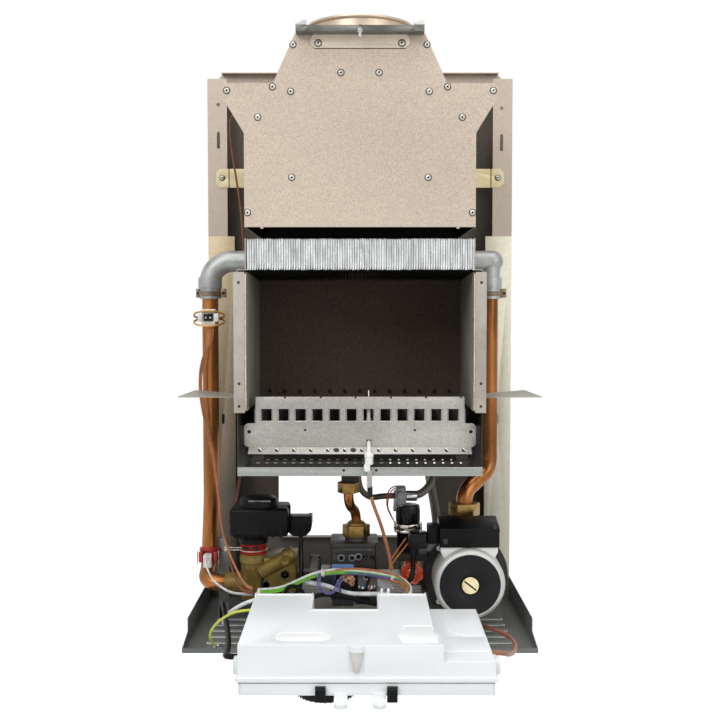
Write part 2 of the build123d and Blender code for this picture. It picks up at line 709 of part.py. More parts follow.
def make_gas_manifold():
    """Square manifold across the front with a nozzle for each burner and a feed from the gas pipe."""
    count = BURNER_WINDOWS + 1
    with BuildPart() as manifold:
        block(-134, 134, 287, 300, BAR_BOTTOM + THIN, 238)
        for i in range(count):
            rod_y((i - (count - 1) / 2) * WINDOW_PITCH, 233, 278, 287, 3)
        block(GAS_FEED_X - 10, GAS_FEED_X + 10, GAS_FEED_D - 10, 287, 223, 230)
        rod_z(GAS_FEED_X, GAS_FEED_D, 202, 223, 9.3)
        block(-134, -120, 287, 294, 238, 245)
        block(120, 134, 287, 294, 238, 245)
    save(manifold, "gas_manifold")


def make_ignition_electrode():
    """Ceramic electrode behind the burner plate, with its tip, and the boot that plugs on below the lip."""
    foot = Vector(ELECTRODE_X, -BOOT_D, 247)
    bend = Vector(ELECTRODE_X, -ELECTRODE_D, 264)
    with BuildPart() as electrode:
        rod_z(ELECTRODE_X, ELECTRODE_D, 264, 308, CERAMIC_R)
        with Locations(bend):
            Sphere(CERAMIC_R)
        with BuildSketch(Plane(origin=foot, z_dir=bend - foot)):
            Circle(CERAMIC_R)
        extrude(amount=(bend - foot).length)
        with BuildSketch(Plane(origin=(ELECTRODE_X, -ELECTRODE_D, 305), z_dir=(0, 0.3, 0.95))):
            Circle(1.0)
        extrude(amount=22)
        rod_z(ELECTRODE_X, BOOT_D, BOOT_Z, 250, 4.5)
    save(electrode, "ignition_electrode")


# ---------------------------------------------------------------- gas line
def make_gas_pipe():
    route = [(GAS_FEED_X, GAS_FEED_D, 202), (GAS_FEED_X, GAS_FEED_D, 173), (GAS_X, GAS_D, 156),
             (GAS_X, GAS_D, 124)]
    with BuildPart() as pipe:
        add(sweep_tube(route, [22, 22], GAS_PIPE_R, GAS_PIPE_R - 1))
    save(pipe, "gas_pipe")


def make_pipe_nuts():
    """Union nuts: both ends of the gas pipe and the pump's suction side."""
    with BuildPart() as nuts:
        with BuildSketch(Plane.XY.offset(188)):
            with Locations((GAS_FEED_X, -GAS_FEED_D)):
                RegularPolygon(12.5, 6, major_radius=False)
                Circle(GAS_PIPE_R, mode=Mode.SUBTRACT)
        extrude(amount=14)
        with BuildSketch(Plane.XY.offset(124)):
            with Locations((GAS_X, -GAS_D)):
                RegularPolygon(16, 6, major_radius=False)
                Circle(GAS_PIPE_R, mode=Mode.SUBTRACT)
        extrude(amount=16)
        with BuildSketch(Plane.XY.offset(NUT_Z)):
            with Locations((PUMP_X, -SUCTION_D)):
                RegularPolygon(18.5, 6, major_radius=False)
                Circle(PIPE_R, mode=Mode.SUBTRACT)
        extrude(amount=17)
    save(nuts, "pipe_nuts")


def make_gas_valve_body():
    with BuildPart() as body:
        block(-39, 23.6, 160, 226, 72, 119)
        chamfer(body.edges().filter_by(Axis.Z), length=4)
        rod_z(GAS_X, GAS_D, 119, 124, 15)
        block(-5, 22, 165, 222, 38, 72)
        for x in (-24.6, -10.4, -2.0):
            rod_y(x, 101, 226, 229, 4.6)
            rod_y(x, 101, 220, 230, 2.4, mode=Mode.SUBTRACT)
        block(-38, -8, 226, 227.5, 86, 92)
        block(-41, -5, 165, 178, 38, 72)
        rod_z(0, TAIL_D, TAIL_SEAT, 71, 9)
        rod_y(0, 62, TAIL_D, 166, 9)
    save(body, "gas_valve_body")


def make_gas_valve_coils():
    """Coil on the valve's underside, its front closed, round the plunger's guide."""
    with BuildPart() as coils:
        rod_y(COIL_X, COIL_Z, 178, 236, 15.5)
        rod_y(COIL_X, COIL_Z, 178, 230, PLUNGER_R + RUN, mode=Mode.SUBTRACT)
    save(coils, "gas_valve_coils")


def make_gas_valve_plunger():
    with BuildPart() as plunger:
        rod_y(COIL_X, COIL_Z, 178.3, 222, PLUNGER_R)
    save(plunger, "gas_valve_plunger")


# ---------------------------------------------------------------- three-way valve and hydraulic block
def make_hydraulic_block():
    with BuildPart() as brass:
        rod_z(VALVE_X, VALVE_D, 40, 92, VALVE_R)
        rod_z(VALVE_X, VALVE_D, 92, 101, VALVE_R + 1)
        block(-127, -85, 150, 214, EXCHANGER_TOP, 97)
        block(-90, -57, 155, 175, 53, 69)
        rod_y(-TAIL_PITCH, 61, TAIL_D, 160, 8)
        rod_z(-TAIL_PITCH, TAIL_D, TAIL_SEAT, 69, 8)
        rod_x(FLOW_FOOT[1], FLOW_FOOT[2], FLOW_FOOT[0], -150, 14)
        with BuildSketch(Plane(origin=(-132, -212, 78), z_dir=(0.86, 0, 0.5))):
            Circle(9.5)
        extrude(amount=52)
        rod_y(-99, 97, 205, 225, 6.7)
        rod_y(-99, 75, 205, 216, 7.5)
        rod_z(VALVE_X, VALVE_D, 56, 102, 12.5, mode=Mode.SUBTRACT)
        rod_y(-99, 75, 212, 217, 5, mode=Mode.SUBTRACT)
        rod_x(FLOW_FOOT[1], FLOW_FOOT[2], FLOW_FOOT[0] - 1, -160, PIPE_BORE, mode=Mode.SUBTRACT)
        block(-130, -118, TAIL_D - 12, 168, 60, 78)
        rod_z(-124, TAIL_D, TAIL_SEAT, 78, 10)
    save(brass, "hydraulic_block")


def make_valve_ring():
    with BuildPart() as ring:
        rod_z(VALVE_X, VALVE_D, 101, 116, VALVE_R + 1)
        rod_z(VALVE_X, VALVE_D, 100, 117, SPINDLE_R + RUN, mode=Mode.SUBTRACT)
    save(ring, "valve_ring")


def make_valve_motor():
    with BuildPart() as motor:
        block(-171, -94, 172, 232, 126, 166)
        fillet(motor.edges().filter_by(Axis.Z), radius=6)
        chamfer(motor.faces().sort_by(Axis.Z)[0].edges(), length=4)
        rod_z(VALVE_X, VALVE_D, 116, 127, VALVE_R + 3)
        rod_z(-134.5, 202, 166, 178, 25.5)
        block(-94, -64, 186, 214, 125, 152)
        rod_z(VALVE_X, VALVE_D, 115, 138, SPINDLE_R + 0.5, mode=Mode.SUBTRACT)
    save(motor, "valve_motor")


def make_valve_spindle():
    with BuildPart() as spindle:
        rod_z(VALVE_X, VALVE_D, 66, 134, SPINDLE_R)
        rod_z(VALVE_X, VALVE_D, 72, 75, 11.5)
        rod_z(VALVE_X, VALVE_D, 86, 89, 11.5)
    save(spindle, "valve_spindle")


def make_plate_exchanger():
    """Brazed plates between two thicker end plates."""
    with BuildPart() as stack:
        with BuildSketch(Plane.XY.offset(12)):
            with Locations((0, -EXCHANGER_D)):
                RectangleRounded(196, 68, 16)
        extrude(amount=EXCHANGER_TOP - 12)
        for i in range(9):
            level = 16 + i * 4
            with BuildSketch(Plane.XY.offset(level)):
                with Locations((0, -EXCHANGER_D)):
                    RectangleRounded(202, 74, 19)
                    RectangleRounded(193, 65, 14.5, mode=Mode.SUBTRACT)
            extrude(amount=1.5, mode=Mode.SUBTRACT)
    save(stack, "plate_exchanger")


def make_expansion_vessel():
    with BuildPart() as vessel:
        block(-134, 134, SHEET, 104, 240, 470)
        fillet(vessel.edges().filter_by(Axis.Y), radius=40)
        fillet(vessel.faces().sort_by(Axis.Y)[0].edges(), radius=18)
        offset(amount=-VESSEL_WALL, mode=Mode.SUBTRACT)
        block(-139, 139, 50, 56, 300, 410)
        rod_z(98, 60, 224, 241, 7)
        rod_z(101, 88, 224, 242, 6)
    save(vessel, "expansion_vessel")


# ---------------------------------------------------------------- pump
def make_pump_housing():
    """Cast volute with the suction port above, the arm of the air vent and the foot on the exchanger."""
    with BuildPart() as volute:
        rod_y(PUMP_X, PUMP_Z, VOLUTE_BACK, PUMP_BACK, VOLUTE_R)
        rod_z(PUMP_X, SUCTION_D, 110, NUT_Z, 17)
        block(50, 110, 160, 186, 91, 100)
        block(50, 90, 186, 204, 91, 100)
        block(57, 112, 150, 180, EXCHANGER_TOP, 66)
        rod_y(TAIL_PITCH, 61, TAIL_D, 155, 8)
        rod_z(TAIL_PITCH, TAIL_D, TAIL_SEAT, 69, 8)
        rod_z(HOSE_STUB[0], HOSE_STUB[1], 60, HOSE_STUB[2], 6)
        rod_y(PUMP_X, PUMP_Z, 172, PUMP_BACK, 39, mode=Mode.SUBTRACT)
        rod_y(PUMP_X, PUMP_Z, 164, 173, SHAFT_R + RUN, mode=Mode.SUBTRACT)
        rod_z(130, TAIL_D, TAIL_SEAT, 50, 12)
        block(120, 140, TAIL_D - 8, 162, 36, 50)
    save(volute, "pump_housing")


def make_pump_motor():
    """Motor can with the neck under the terminal box, and the round face plate in its front."""
    with BuildPart() as can:
        rod_y(PUMP_X, PUMP_Z, PUMP_BACK, PUMP_FRONT, PUMP_R)
        with BuildSketch(front(206)):
            with BuildLine():
                Polyline((PUMP_X - 37, 119), (PUMP_X + 37, 119), (PUMP_X + 37, 112), (PUMP_X + 28, 96),
                         (PUMP_X - 28, 96), (PUMP_X - 37, 112), close=True)
            make_face()
        extrude(amount=40)
        rod_y(PUMP_X, PUMP_Z, PUMP_FRONT - 2, PUMP_FRONT + 1, FACE_R + 0.1, mode=Mode.SUBTRACT)
        rod_y(PUMP_X, PUMP_Z, 203, 246, 24, mode=Mode.SUBTRACT)
        rod_y(PUMP_X, PUMP_Z, PUMP_BACK - 1, 204, SHAFT_R + RUN, mode=Mode.SUBTRACT)
        rod_y(PUMP_X, PUMP_Z, 245, PUMP_FRONT, 7.2, mode=Mode.SUBTRACT)
    with BuildPart() as face:
        rod_y(PUMP_X, PUMP_Z, PUMP_FRONT - 2, PUMP_FRONT + 1, FACE_R)
        rod_y(PUMP_X, PUMP_Z, PUMP_FRONT - 3, PUMP_FRONT + 2, 7.2, mode=Mode.SUBTRACT)
    can.part = Compound(children=[can.part.solid(), face.part.solid()])
    save(can, "pump_motor")


def make_pump_rotor():
    """Shaft with the rotor can and the bladed impeller."""
    with BuildPart() as rotor:
        rod_y(PUMP_X, PUMP_Z, 165, 245, SHAFT_R)
        rod_y(PUMP_X, PUMP_Z, 207, 242, 22)
        rod_y(PUMP_X, PUMP_Z, 178, 180, 35)
        rod_y(PUMP_X, PUMP_Z, 178, 192, 8)
        with BuildSketch(front(180)):
            with Locations((PUMP_X, PUMP_Z)):
                with PolarLocations(21, 6):
                    Rectangle(27, 2.5)
        extrude(amount=12)
    save(rotor, "pump_rotor")


def make_vent_screw():
    with BuildPart() as screw:
        rod_y(PUMP_X, PUMP_Z, PUMP_FRONT + 1 + 0.1, PUMP_FRONT + 4, VENT_SCREW_R)
        rod_y(PUMP_X, PUMP_Z, 248, PUMP_FRONT + 2, 7.2 - RUN)
        with BuildSketch(front(PUMP_FRONT + 2.8)):
            with Locations((PUMP_X, PUMP_Z)):
                Rectangle(2 * VENT_SCREW_R, 2, rotation=-38)
        extrude(amount=2, mode=Mode.SUBTRACT)
    save(screw, "vent_screw")


def make_pump_terminal_box():
    """Black box on the motor's neck with its socket, and the plug in that socket."""
    left = PUMP_X - 38.5
    with BuildPart() as box:
        with BuildSketch(Plane.YZ.offset(left)):
            with BuildLine():
                Polyline((-202, 119), (-250, 119), (-250, 144), (-244, 147), (-208, 153), (-202, 150),
                         close=True)
            make_face()
        extrude(amount=77)
        fillet(box.edges().filter_by(Axis.Z), radius=3)
        block(left - 15, left, 212, 238, 121, 145)
    with BuildPart() as plug:
        block(64, left - 15, 214, 236, 106, 135)
        fillet(plug.edges().filter_by(Axis.Y), radius=5)
    box.part = Compound(children=[box.part.solid(), plug.part.solid()])
    save(box, "pump_terminal_box")


# ---------------------------------------------------------------- air vent and relief valve
def make_air_vent():
    with BuildPart() as body:
        rod_z(VENT_X, VENT_D, 100, 125, 15)
        rod_z(VENT_X, VENT_D, 125, 137, 19.5)
        rod_z(VENT_X, VENT_D, 103, 138, 12, mode=Mode.SUBTRACT)
    with BuildPart() as cap:
        rod_z(VENT_X, VENT_D, 137, 162, 16)
        fillet(cap.faces().sort_by(Axis.Z)[-1].edges(), radius=3)
        rod_z(VENT_X, VENT_D, 136, 150, 10, mode=Mode.SUBTRACT)
    body.part = Compound(children=[body.part.solid(), cap.part.solid()])
    save(body, "air_vent")


def make_vent_float():
    with BuildPart() as float_body:
        rod_z(VENT_X, VENT_D, 103.3, 120, 11.5)
        rod_z(VENT_X, VENT_D, 120, 136, 2)
    save(float_body, "vent_float")


def make_relief_valve():
    with BuildPart() as valve:
        block(RELIEF_X - 11, RELIEF_X + 11, 184, 206, RELIEF_Z - 13, 91)
        rod_y(RELIEF_X, RELIEF_Z, 206, 211, 9)
        rod_y(RELIEF_X, RELIEF_Z, 211, 227, STEM_R)
    save(valve, "relief_valve")


def make_relief_handwheel():
    """Round red grip with finger scallops that turns on the stem to lift the valve."""
    with BuildPart() as wheel:
        rod_y(RELIEF_X, RELIEF_Z, 211.3, 225, 15)
        with BuildSketch(front(211)):
            with Locations((RELIEF_X, RELIEF_Z)):
                with PolarLocations(17.5, 8):
                    Circle(4)
        extrude(amount=16, mode=Mode.SUBTRACT)
        rod_y(RELIEF_X, RELIEF_Z, 210, 228, STEM_R + RUN, mode=Mode.SUBTRACT)
    save(wheel, "relief_handwheel")


VESSEL_HOSE = [(98, 60, 224), (98, 60, 200), (101, 82, 178), (104, 110, 156), (106, 136, 138),
               (106, 152, 122), HOSE_STUB]
TEE_HOSE = [(62, 177, 174), (77, 177, 174), (90, 166, 180), (98, 143, 187), (101, 116, 193),
            (101, 88, 200), (101, 88, 224)]
BENT_TUBE = [(-3, 214, 223), (-3, 214, 206), (1, 208, 186), (14, 196, 174), (31, 177, 174), (48, 177, 174)]


def make_hoses():
    """Vessel hose, the hose and bent tube that meet at the tee on the air vent, and that tee."""
    with BuildPart() as tee:
        block(48, 62, 166, 188, 162, 187)
    pieces = [tee.part.solid()]
    for route, radius in ((VESSEL_HOSE, 6.5), (TEE_HOSE, 5.5), (BENT_TUBE, 4.0)):
        pieces.append(sweep_tube(route, largest_radii(route), radius).solid())
    tee.part = Compound(children=pieces)
    save(tee, "hoses")


def make_connection_tails():
    """Threaded tails through the tray: flow, hot water, gas, cold water, return."""
    with BuildPart() as tails:
        for place in range(-2, 3):
            radius = G12_R if abs(place) == 1 else G34_R
            rod_z(place * TAIL_PITCH, TAIL_D, TAIL_BOTTOM, TAIL_SEAT, radius)
            with BuildSketch(Plane.XY.offset(SHEET)):
                with Locations((place * TAIL_PITCH, -TAIL_D)):
                    RegularPolygon(TAIL_HEX_R, 6)
            extrude(amount=TAIL_HEX_H)
    save(tails, "connection_tails")


# ---------------------------------------------------------------- control box
def cover_outline(grow):
    """Plan of the raised part of the rear cover, with the cable notch at its rear edge."""
    left, right = BOX_LEFT - grow, 80.5 + grow
    rear, fore = -BOX_REAR + grow, -BOX_FRONT - grow
    Polyline((left, rear), (NOTCH_LEFT + grow, rear), (NOTCH_LEFT + grow, -NOTCH_D + grow),
             (NOTCH_RIGHT - grow, -NOTCH_D + grow), (NOTCH_RIGHT - grow, rear), (right, rear),
             (right, -480), (right + 6.5, -500), (right + 6.5, fore), (left, fore), close=True)


def lower_outline(grow):
    """Plan of the low part of the rear cover, with the same notch."""
    left, right = BOX_LEFT - grow, BOX_RIGHT + grow
    rear, fore = -BOX_REAR + grow, -BOX_FRONT - grow
    Polyline((left, rear), (NOTCH_LEFT + grow, rear), (NOTCH_LEFT + grow, -NOTCH_D + grow),
             (NOTCH_RIGHT - grow, -NOTCH_D + grow), (NOTCH_RIGHT - grow, rear), (right, rear),
             (right, fore), (left, fore), close=True)


def make_box_cover():
    """Rear cover, which faces up while the box hangs open: two levels, a lip, a screw boss and cable prongs."""
    with BuildPart() as cover:
        with BuildSketch(Plane.XY.offset(BOX_JOIN)):
            with BuildLine():
                lower_outline(0)
            make_face()
        extrude(amount=STEP_TOP - BOX_JOIN)
        with BuildSketch(Plane.XY.offset(STEP_TOP)):
            with BuildLine():
                cover_outline(0)
            make_face()
        extrude(amount=BOX_TOP - STEP_TOP)
        with BuildSketch(Plane.XY.offset(BOX_JOIN)):
            with Locations(((BOX_LEFT + BOX_RIGHT) / 2, -(BOX_REAR + BOX_FRONT) / 2)):
                Rectangle(BOX_RIGHT - BOX_LEFT + 5, BOX_FRONT - BOX_REAR + 3)
        extrude(amount=LIP_TOP - BOX_JOIN)
        block(NOTCH_LEFT, NOTCH_RIGHT, BOX_REAR - 5, NOTCH_D, BOX_JOIN - 1, LIP_TOP + 1, mode=Mode.SUBTRACT)
        with BuildSketch(Plane.XY.offset(BOX_TOP)):
            with Locations((-3.5, -BOX_FRONT)):
                SlotOverall(16, 11)
        extrude(amount=-28)
        with BuildSketch(Plane.XY.offset(BOX_JOIN)):
            with BuildLine():
                lower_outline(-BOX_WALL)
            make_face()
        extrude(amount=STEP_TOP - BOX_JOIN - BOX_WALL, mode=Mode.SUBTRACT)
        with BuildSketch(Plane.XY.offset(STEP_TOP - BOX_WALL)):
            with BuildLine():
                cover_outline(-BOX_WALL)
            make_face()
        extrude(amount=BOX_TOP - STEP_TOP, mode=Mode.SUBTRACT)
        with BuildSketch(Plane.XY.offset(BOX_TOP)):
            with Locations((-60.5, -501)):
                SlotOverall(62, 33)
            with BuildLine():
                Polyline((39, -494), (48, -459), (78, -459), (84, -494), (84, -524), (43, -524), close=True)
            make_face()
        extrude(amount=-RECESS, mode=Mode.SUBTRACT)
        block(25, 28, BOX_REAR - 9, BOX_REAR, 66, BOX_TOP)
        block(33, 36, BOX_REAR - 9, BOX_REAR, 66, BOX_TOP)
    save(cover, "box_cover")


def make_box_shell():
    """Front shell with the fascia as its floor, hinge arms, two screw ears and posts for the circuit board."""
    middle = ((BOX_LEFT + BOX_RIGHT) / 2, -(BOX_REAR + BOX_FRONT) / 2)
    width, length = BOX_RIGHT - BOX_LEFT, BOX_FRONT - BOX_REAR
    eye = Vector(-PIVOT_D, PIVOT_Z)
    with BuildPart() as shell:
        with BuildSketch(Plane.XY.offset(BOX_BOTTOM)):
            with Locations(middle):
                RectangleRounded(width, length, 5)
        extrude(amount=BOX_JOIN - BOX_BOTTOM)
        with BuildSketch(Plane.XY.offset(BOX_BOTTOM + BOX_WALL)):
            with Locations(middle):
                RectangleRounded(width - 2 * BOX_WALL, length - 2 * BOX_WALL, 3)
        extrude(amount=BOX_JOIN, mode=Mode.SUBTRACT)
        for x, d in ((-100, 350), (110, 350), (-100, 495), (110, 495)):
            rod_z(x, d, BOX_BOTTOM, 48, 4)
        for x in ARMS:
            with BuildSketch(Plane.YZ.offset(x)):
                with BuildLine():
                    Polyline((eye.X - 5, eye.Y - 1), (eye.X + 4, eye.Y + 4), (-BOX_REAR - 1, BOX_BOTTOM + 3),
                             (-BOX_REAR - 18, BOX_BOTTOM + 1), close=True)
                make_face()
                with Locations((eye.X, eye.Y)):
                    Circle(6)
                    Circle(PIN_R + RUN, mode=Mode.SUBTRACT)
            extrude(amount=ARM_T)
        for x in (-BOX_SCREW_X, BOX_SCREW_X):
            block(x - EAR_R, x + EAR_R, BOX_FRONT - 3, EAR_D, 20, 24.5)
            rod_z(x, EAR_D, 20, 24.5, EAR_R)
            block(x - EAR_R, x + EAR_R, BOX_FRONT - 3, BOX_FRONT + 2, 20, 30)
            rod_z(x, EAR_D, 18, 26, 2.2, mode=Mode.SUBTRACT)
        for x in (DIAL_X, HEATING_X, WATER_X):
            rod_z(x, KNOB_D, BOX_BOTTOM - 1, BOX_BOTTOM + BOX_WALL + 1, 3 + RUN, mode=Mode.SUBTRACT)
        rod_z(RESET_X, KNOB_D, BOX_BOTTOM - 1, BOX_BOTTOM + BOX_WALL + 1, 5 + RUN, mode=Mode.SUBTRACT)
    save(shell, "box_shell")


def make_box_clips():
    """Clips that hold the cover on the shell: one each side and two black ones at the front."""
    with BuildPart() as clips:
        for x in (-41.0, 33.5):
            block(x - 5.5, x + 5.5, BOX_FRONT + 2, BOX_FRONT + 5, 21, 40.5)
            block(x - 5.5, x + 5.5, BOX_FRONT, BOX_FRONT + 2, 30, 40.5)
        for edge, side in ((BOX_LEFT, -1), (BOX_RIGHT, 1)):
            low, high = sorted((edge, edge + side * 6))
            block(low, high, 505, 522, LIP_TOP, 61)
    save(clips, "box_clips")


def make_circuit_board():
    with BuildPart() as board:
        block(-110, 120, 402, 510, 48, 49.6)
        block(-110, -64, 340, 402, 48, 49.6)
        block(30, 120, 340, 402, 48, 49.6)
        block(-95, -60, 420, 460, 49.6, 74)
        for i in range(4):
            block(-30 + i * 22, -14 + i * 22, 480, 502, 49.6, 65)
        block(60, 70, 350, 395, 49.6, 58)
    save(board, "circuit_board")


def knob(name, x, radius, bottom):
    """Turned knob under the fascia with a pointer rib and a shaft through it."""
    top = BOX_BOTTOM - FIT
    with BuildPart() as grip:
        rod_z(x, KNOB_D, bottom, top, radius)
        chamfer(grip.faces().sort_by(Axis.Z)[0].edges(), length=2)
        rod_z(x, KNOB_D, top, BOX_BOTTOM + BOX_WALL + 4, 3)
        block(x - 1.5, x + 1.5, KNOB_D, KNOB_D + radius * 0.85, bottom - 1.2, bottom + 1)
    save(grip, name)


def make_reset_button():
    with BuildPart() as button:
        rod_z(RESET_X, KNOB_D, 23, BOX_BOTTOM + BOX_WALL + 1, 5)
        rod_z(RESET_X, KNOB_D, BOX_BOTTOM + BOX_WALL + 0.3, BOX_BOTTOM + BOX_WALL + 2, 7)
    save(button, "reset_button")


def make_hinge_brackets():
    """Brackets on the tray's front edge that carry the control box, and their pins."""
    with BuildPart() as brackets:
        for x in ARMS:
            inner = x + ARM_T + FIT
            with BuildSketch(Plane.YZ.offset(inner)):
                with BuildLine():
                    Polyline((-TRAY_D, 0.5), (-PIVOT_D - 2, 0.5), (-PIVOT_D - 6, 5), (-PIVOT_D - 6, 10),
                             (-PIVOT_D, 14), (-TRAY_D, 14), close=True)
                make_face()
            extrude(amount=3)
            block(inner, inner + 16, TRAY_D, TRAY_D + 2, 0.5, 14)
            rod_x(PIVOT_D, PIVOT_Z, x - 0.5, inner + 3, PIN_R)
            rod_x(PIVOT_D, PIVOT_Z, x - 2.5, x - FIT, PIN_R + 1.8)
    save(brackets, "hinge_brackets")


# ---------------------------------------------------------------- wiring
TIE = (-134.0, 243.0, 60.0)
TIE_HALF = 5.0
HARNESS = [(-129, 243, 60), (-108, 243, 60), (-84, 244, 70), (-58, 245, 83), (-28, 246, 87.5), (2, 246, 86),
           (28, 246.5, 82), (48, 250, 77), (59, 268, 72), (55, 294, 71), (46, 312, 71), (46, 330.7, 71)]
IGNITION = [(ELECTRODE_X, BOOT_D, BOOT_Z), (ELECTRODE_X, BOOT_D, 200), (17, 306, 180), (25, 292, 157),
            (32, 276, 131), (38, 262, 108), (41, 252, 91)]
EARTH = [(-127.3, 350, 66), (-146, 350, 66), (-168, 336, 52), (-184, 316, 32), (-188, 298, 14), (-183, 290, 4.5)]
MAINS = [(-187, 179, 1.3), (-187, 179, 20), (-184, 202, 36), (-176, 246, 36), (-166, 298, 31), (-158, 350, 33),
         (-152, 402, 36), (-149, 446, 42), (-147, 470, 50), (-143, 488, 54),
         (-127.3, 488, 54)]
LOOP = [(130.3, 212, 9), (150, 212, 9), (172, 238, 10), (186, 268, 12), (191, 308, 15), (187, 352, 22),
        (178, 400, 31), (167, 442, 41), (156, 468, 52), (141.3, 468, 52)]
THERMOSTAT = [(-200, 162, 401.7), (-200, 162, 387), (-208, 165, 372), (-216, 163, 346), (-217, 163, 316), (-212, 166, 284),
              (-203, 168, 250), (-195, 172, 206), (-189, 184, 164), (-181, 210, 124), (-163, 233, 90),
              (-147, 243, 64), (-139.3, 243, 64)]
SENSOR = [(-206.6, 182.5, 94), (-206.6, 194, 90), (-203, 206, 79), (-192, 219, 66), (-171, 231, 56),
          (-152, 241, 56), (-139.3, 241, 56)]
VALVE_LEAD = [(-79, 200, 125), (-79, 200, 103), (-77, 212, 80), (-79, 230, 58), (-94, 241, 42),
              (-116, 243, 34), (-134, 243, 38), (-134, 243, 53.7)]
PLUG_LEAD = [(75, 230, 106), (75, 230, 93), (73, 234, 81), (67, 239, 73), (57, 241, 71)]
FLUE_LEAD = [(-167, 150, 691), (-175, 150, 691), (-178, 138, 664), (-174, 116, 620), (-168, 96, 572),
             (-166, 80, 520), (-166, 70, 464), (-167, 66, 406), (-166, 68, 346), (-167, 72, 286),
             (-166, 80, 226), (-172, 106, 176), (-175, 150, 130), (-176, 196, 92), (-160, 232, 66),
             (-149, 246, 60), (-139.3, 246, 60)]


def make_harness():
    """Bundle from the tie into the control box, with the ignition lead that joins it."""
    bundle = sweep_tube(HARNESS, largest_radii(HARNESS), 4.5)
    lead = sweep_tube(IGNITION, largest_radii(IGNITION), 2.5)
    with BuildPart() as harness:
        add(bundle)
    harness.part = Compound(children=[bundle.solid(), lead.solid()])
    save(harness, "harness")


def make_box_leads():
    """Earth wire with its ring terminal, mains cable and the loop on the right, all into the control box."""
    pieces = []
    for route, radius in ((EARTH, 1.6), (MAINS, 3.4), (LOOP, 2.8)):
        pieces.append(sweep_tube(route, largest_radii(route), radius).solid())
    with BuildPart() as ring:
        rod_z(-179, 286, SHEET, SHEET + 1, 5)
        rod_z(-179, 286, SHEET, SHEET + 3.5, 3)
    pieces.append(ring.part.solid())
    ring.part = Compound(children=pieces)
    save(ring, "box_leads")


def make_root_wiring():
    """Leads that stay with the frame: pipe thermostat, foot sensor, valve motor, pump plug, flue thermostat."""
    with BuildPart() as tie:
        block(TIE[0] - TIE_HALF, TIE[0] + TIE_HALF, TIE[1] - 6, TIE[1] + 6, TIE[2] - 6, TIE[2] + 6)
    pieces = [tie.part.solid()]
    for route, radius in ((THERMOSTAT, 2.2), (SENSOR, 2.2), (VALVE_LEAD, 3.0), (PLUG_LEAD, 3.2),
                          (FLUE_LEAD, 1.8)):
        pieces.append(sweep_tube(route, largest_radii(route), radius).solid())
    tie.part = Compound(children=pieces)
    save(tie, "root_wiring")


# ---------------------------------------------------------------- build
def build_frame():
    make_back_panel()
    make_top_crossbar()
    make_upper_channels()
    make_lower_channels()
    make_lower_rail()
    make_bottom_tray()


def build_hood():
    make_hood_front()
    make_hood_shell()
    make_flue_spigot()
    make_latch_bracket()
    make_tab_brackets()
    make_sheet_screws()


def build_heating():
    make_fin_block()
    make_elbows()
    make_flow_pipe()
    make_return_pipe()
    make_pipe_clips()
    make_pipe_sensors()
    make_chamber_shell()
    make_insulation_boards()
    make_air_wings()
    make_burner_front()
    make_burner_blades()
    make_burner_frame()
    make_gas_manifold()
    make_ignition_electrode()
    make_expansion_vessel()


def build_hydraulics():
    make_gas_pipe()
    make_pipe_nuts()
    make_gas_valve_body()
    make_gas_valve_coils()
    make_gas_valve_plunger()
    make_hydraulic_block()
    make_valve_ring()
    make_valve_motor()
    make_valve_spindle()
    make_plate_exchanger()
    make_pump_housing()
    make_pump_motor()
    make_pump_rotor()
    make_vent_screw()
    make_pump_terminal_box()
    make_air_vent()
    make_vent_float()
    make_relief_valve()
    make_relief_handwheel()
    make_hoses()
    make_connection_tails()


def build_control_box():
    make_box_cover()
    make_box_shell()
    make_box_clips()
    make_circuit_board()
    knob("main_dial", DIAL_X, DIAL_R, 9.0)
    knob("heating_knob", HEATING_X, KNOB_R, 15.0)
    knob("water_knob", WATER_X, KNOB_R, 15.0)
    make_reset_button()
    make_hinge_brackets()


def build_wiring():
    make_harness()
    make_box_leads()
    make_root_wiring()


build_frame()
build_hood()
build_heating()
build_hydraulics()
build_control_box()
build_wiring()
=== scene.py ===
"""Looks of the wall-hung combi boiler: casing off, control box hanging open in front.

Lengths in the tables are millimetres. A place is (width, depth in front of the wall, height).
"""
import random
from math import cos, radians, sin

import bpy
from mathutils import Matrix, Vector


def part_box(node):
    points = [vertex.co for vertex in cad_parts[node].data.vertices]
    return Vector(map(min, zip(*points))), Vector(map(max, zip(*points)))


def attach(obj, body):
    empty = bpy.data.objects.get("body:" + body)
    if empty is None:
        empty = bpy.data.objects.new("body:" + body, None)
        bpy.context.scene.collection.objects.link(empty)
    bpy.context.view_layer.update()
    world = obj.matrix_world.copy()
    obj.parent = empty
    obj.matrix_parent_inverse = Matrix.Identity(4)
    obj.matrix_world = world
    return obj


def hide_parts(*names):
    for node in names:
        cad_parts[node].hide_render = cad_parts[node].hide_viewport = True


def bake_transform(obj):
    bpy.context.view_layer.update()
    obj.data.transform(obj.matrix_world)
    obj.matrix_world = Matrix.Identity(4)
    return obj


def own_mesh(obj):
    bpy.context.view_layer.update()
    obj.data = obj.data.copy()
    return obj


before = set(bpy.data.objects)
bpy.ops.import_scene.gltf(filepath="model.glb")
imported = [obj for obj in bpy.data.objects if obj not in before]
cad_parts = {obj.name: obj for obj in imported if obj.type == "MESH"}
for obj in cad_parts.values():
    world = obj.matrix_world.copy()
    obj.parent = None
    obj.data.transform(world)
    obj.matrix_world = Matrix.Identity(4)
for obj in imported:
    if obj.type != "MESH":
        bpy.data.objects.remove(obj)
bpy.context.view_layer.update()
random.seed(11)

MM = 0.001
SIDES = (-1, 1)
# directions, as (width, depth, height)
OUT = (0, 1, 0)
UP = (0, 0, 1)
DOWN = (0, 0, -1)
RIGHT = (1, 0, 0)
# square to the sloping lip of the burner's plate
LIP = (0, 0.54, 0.84)
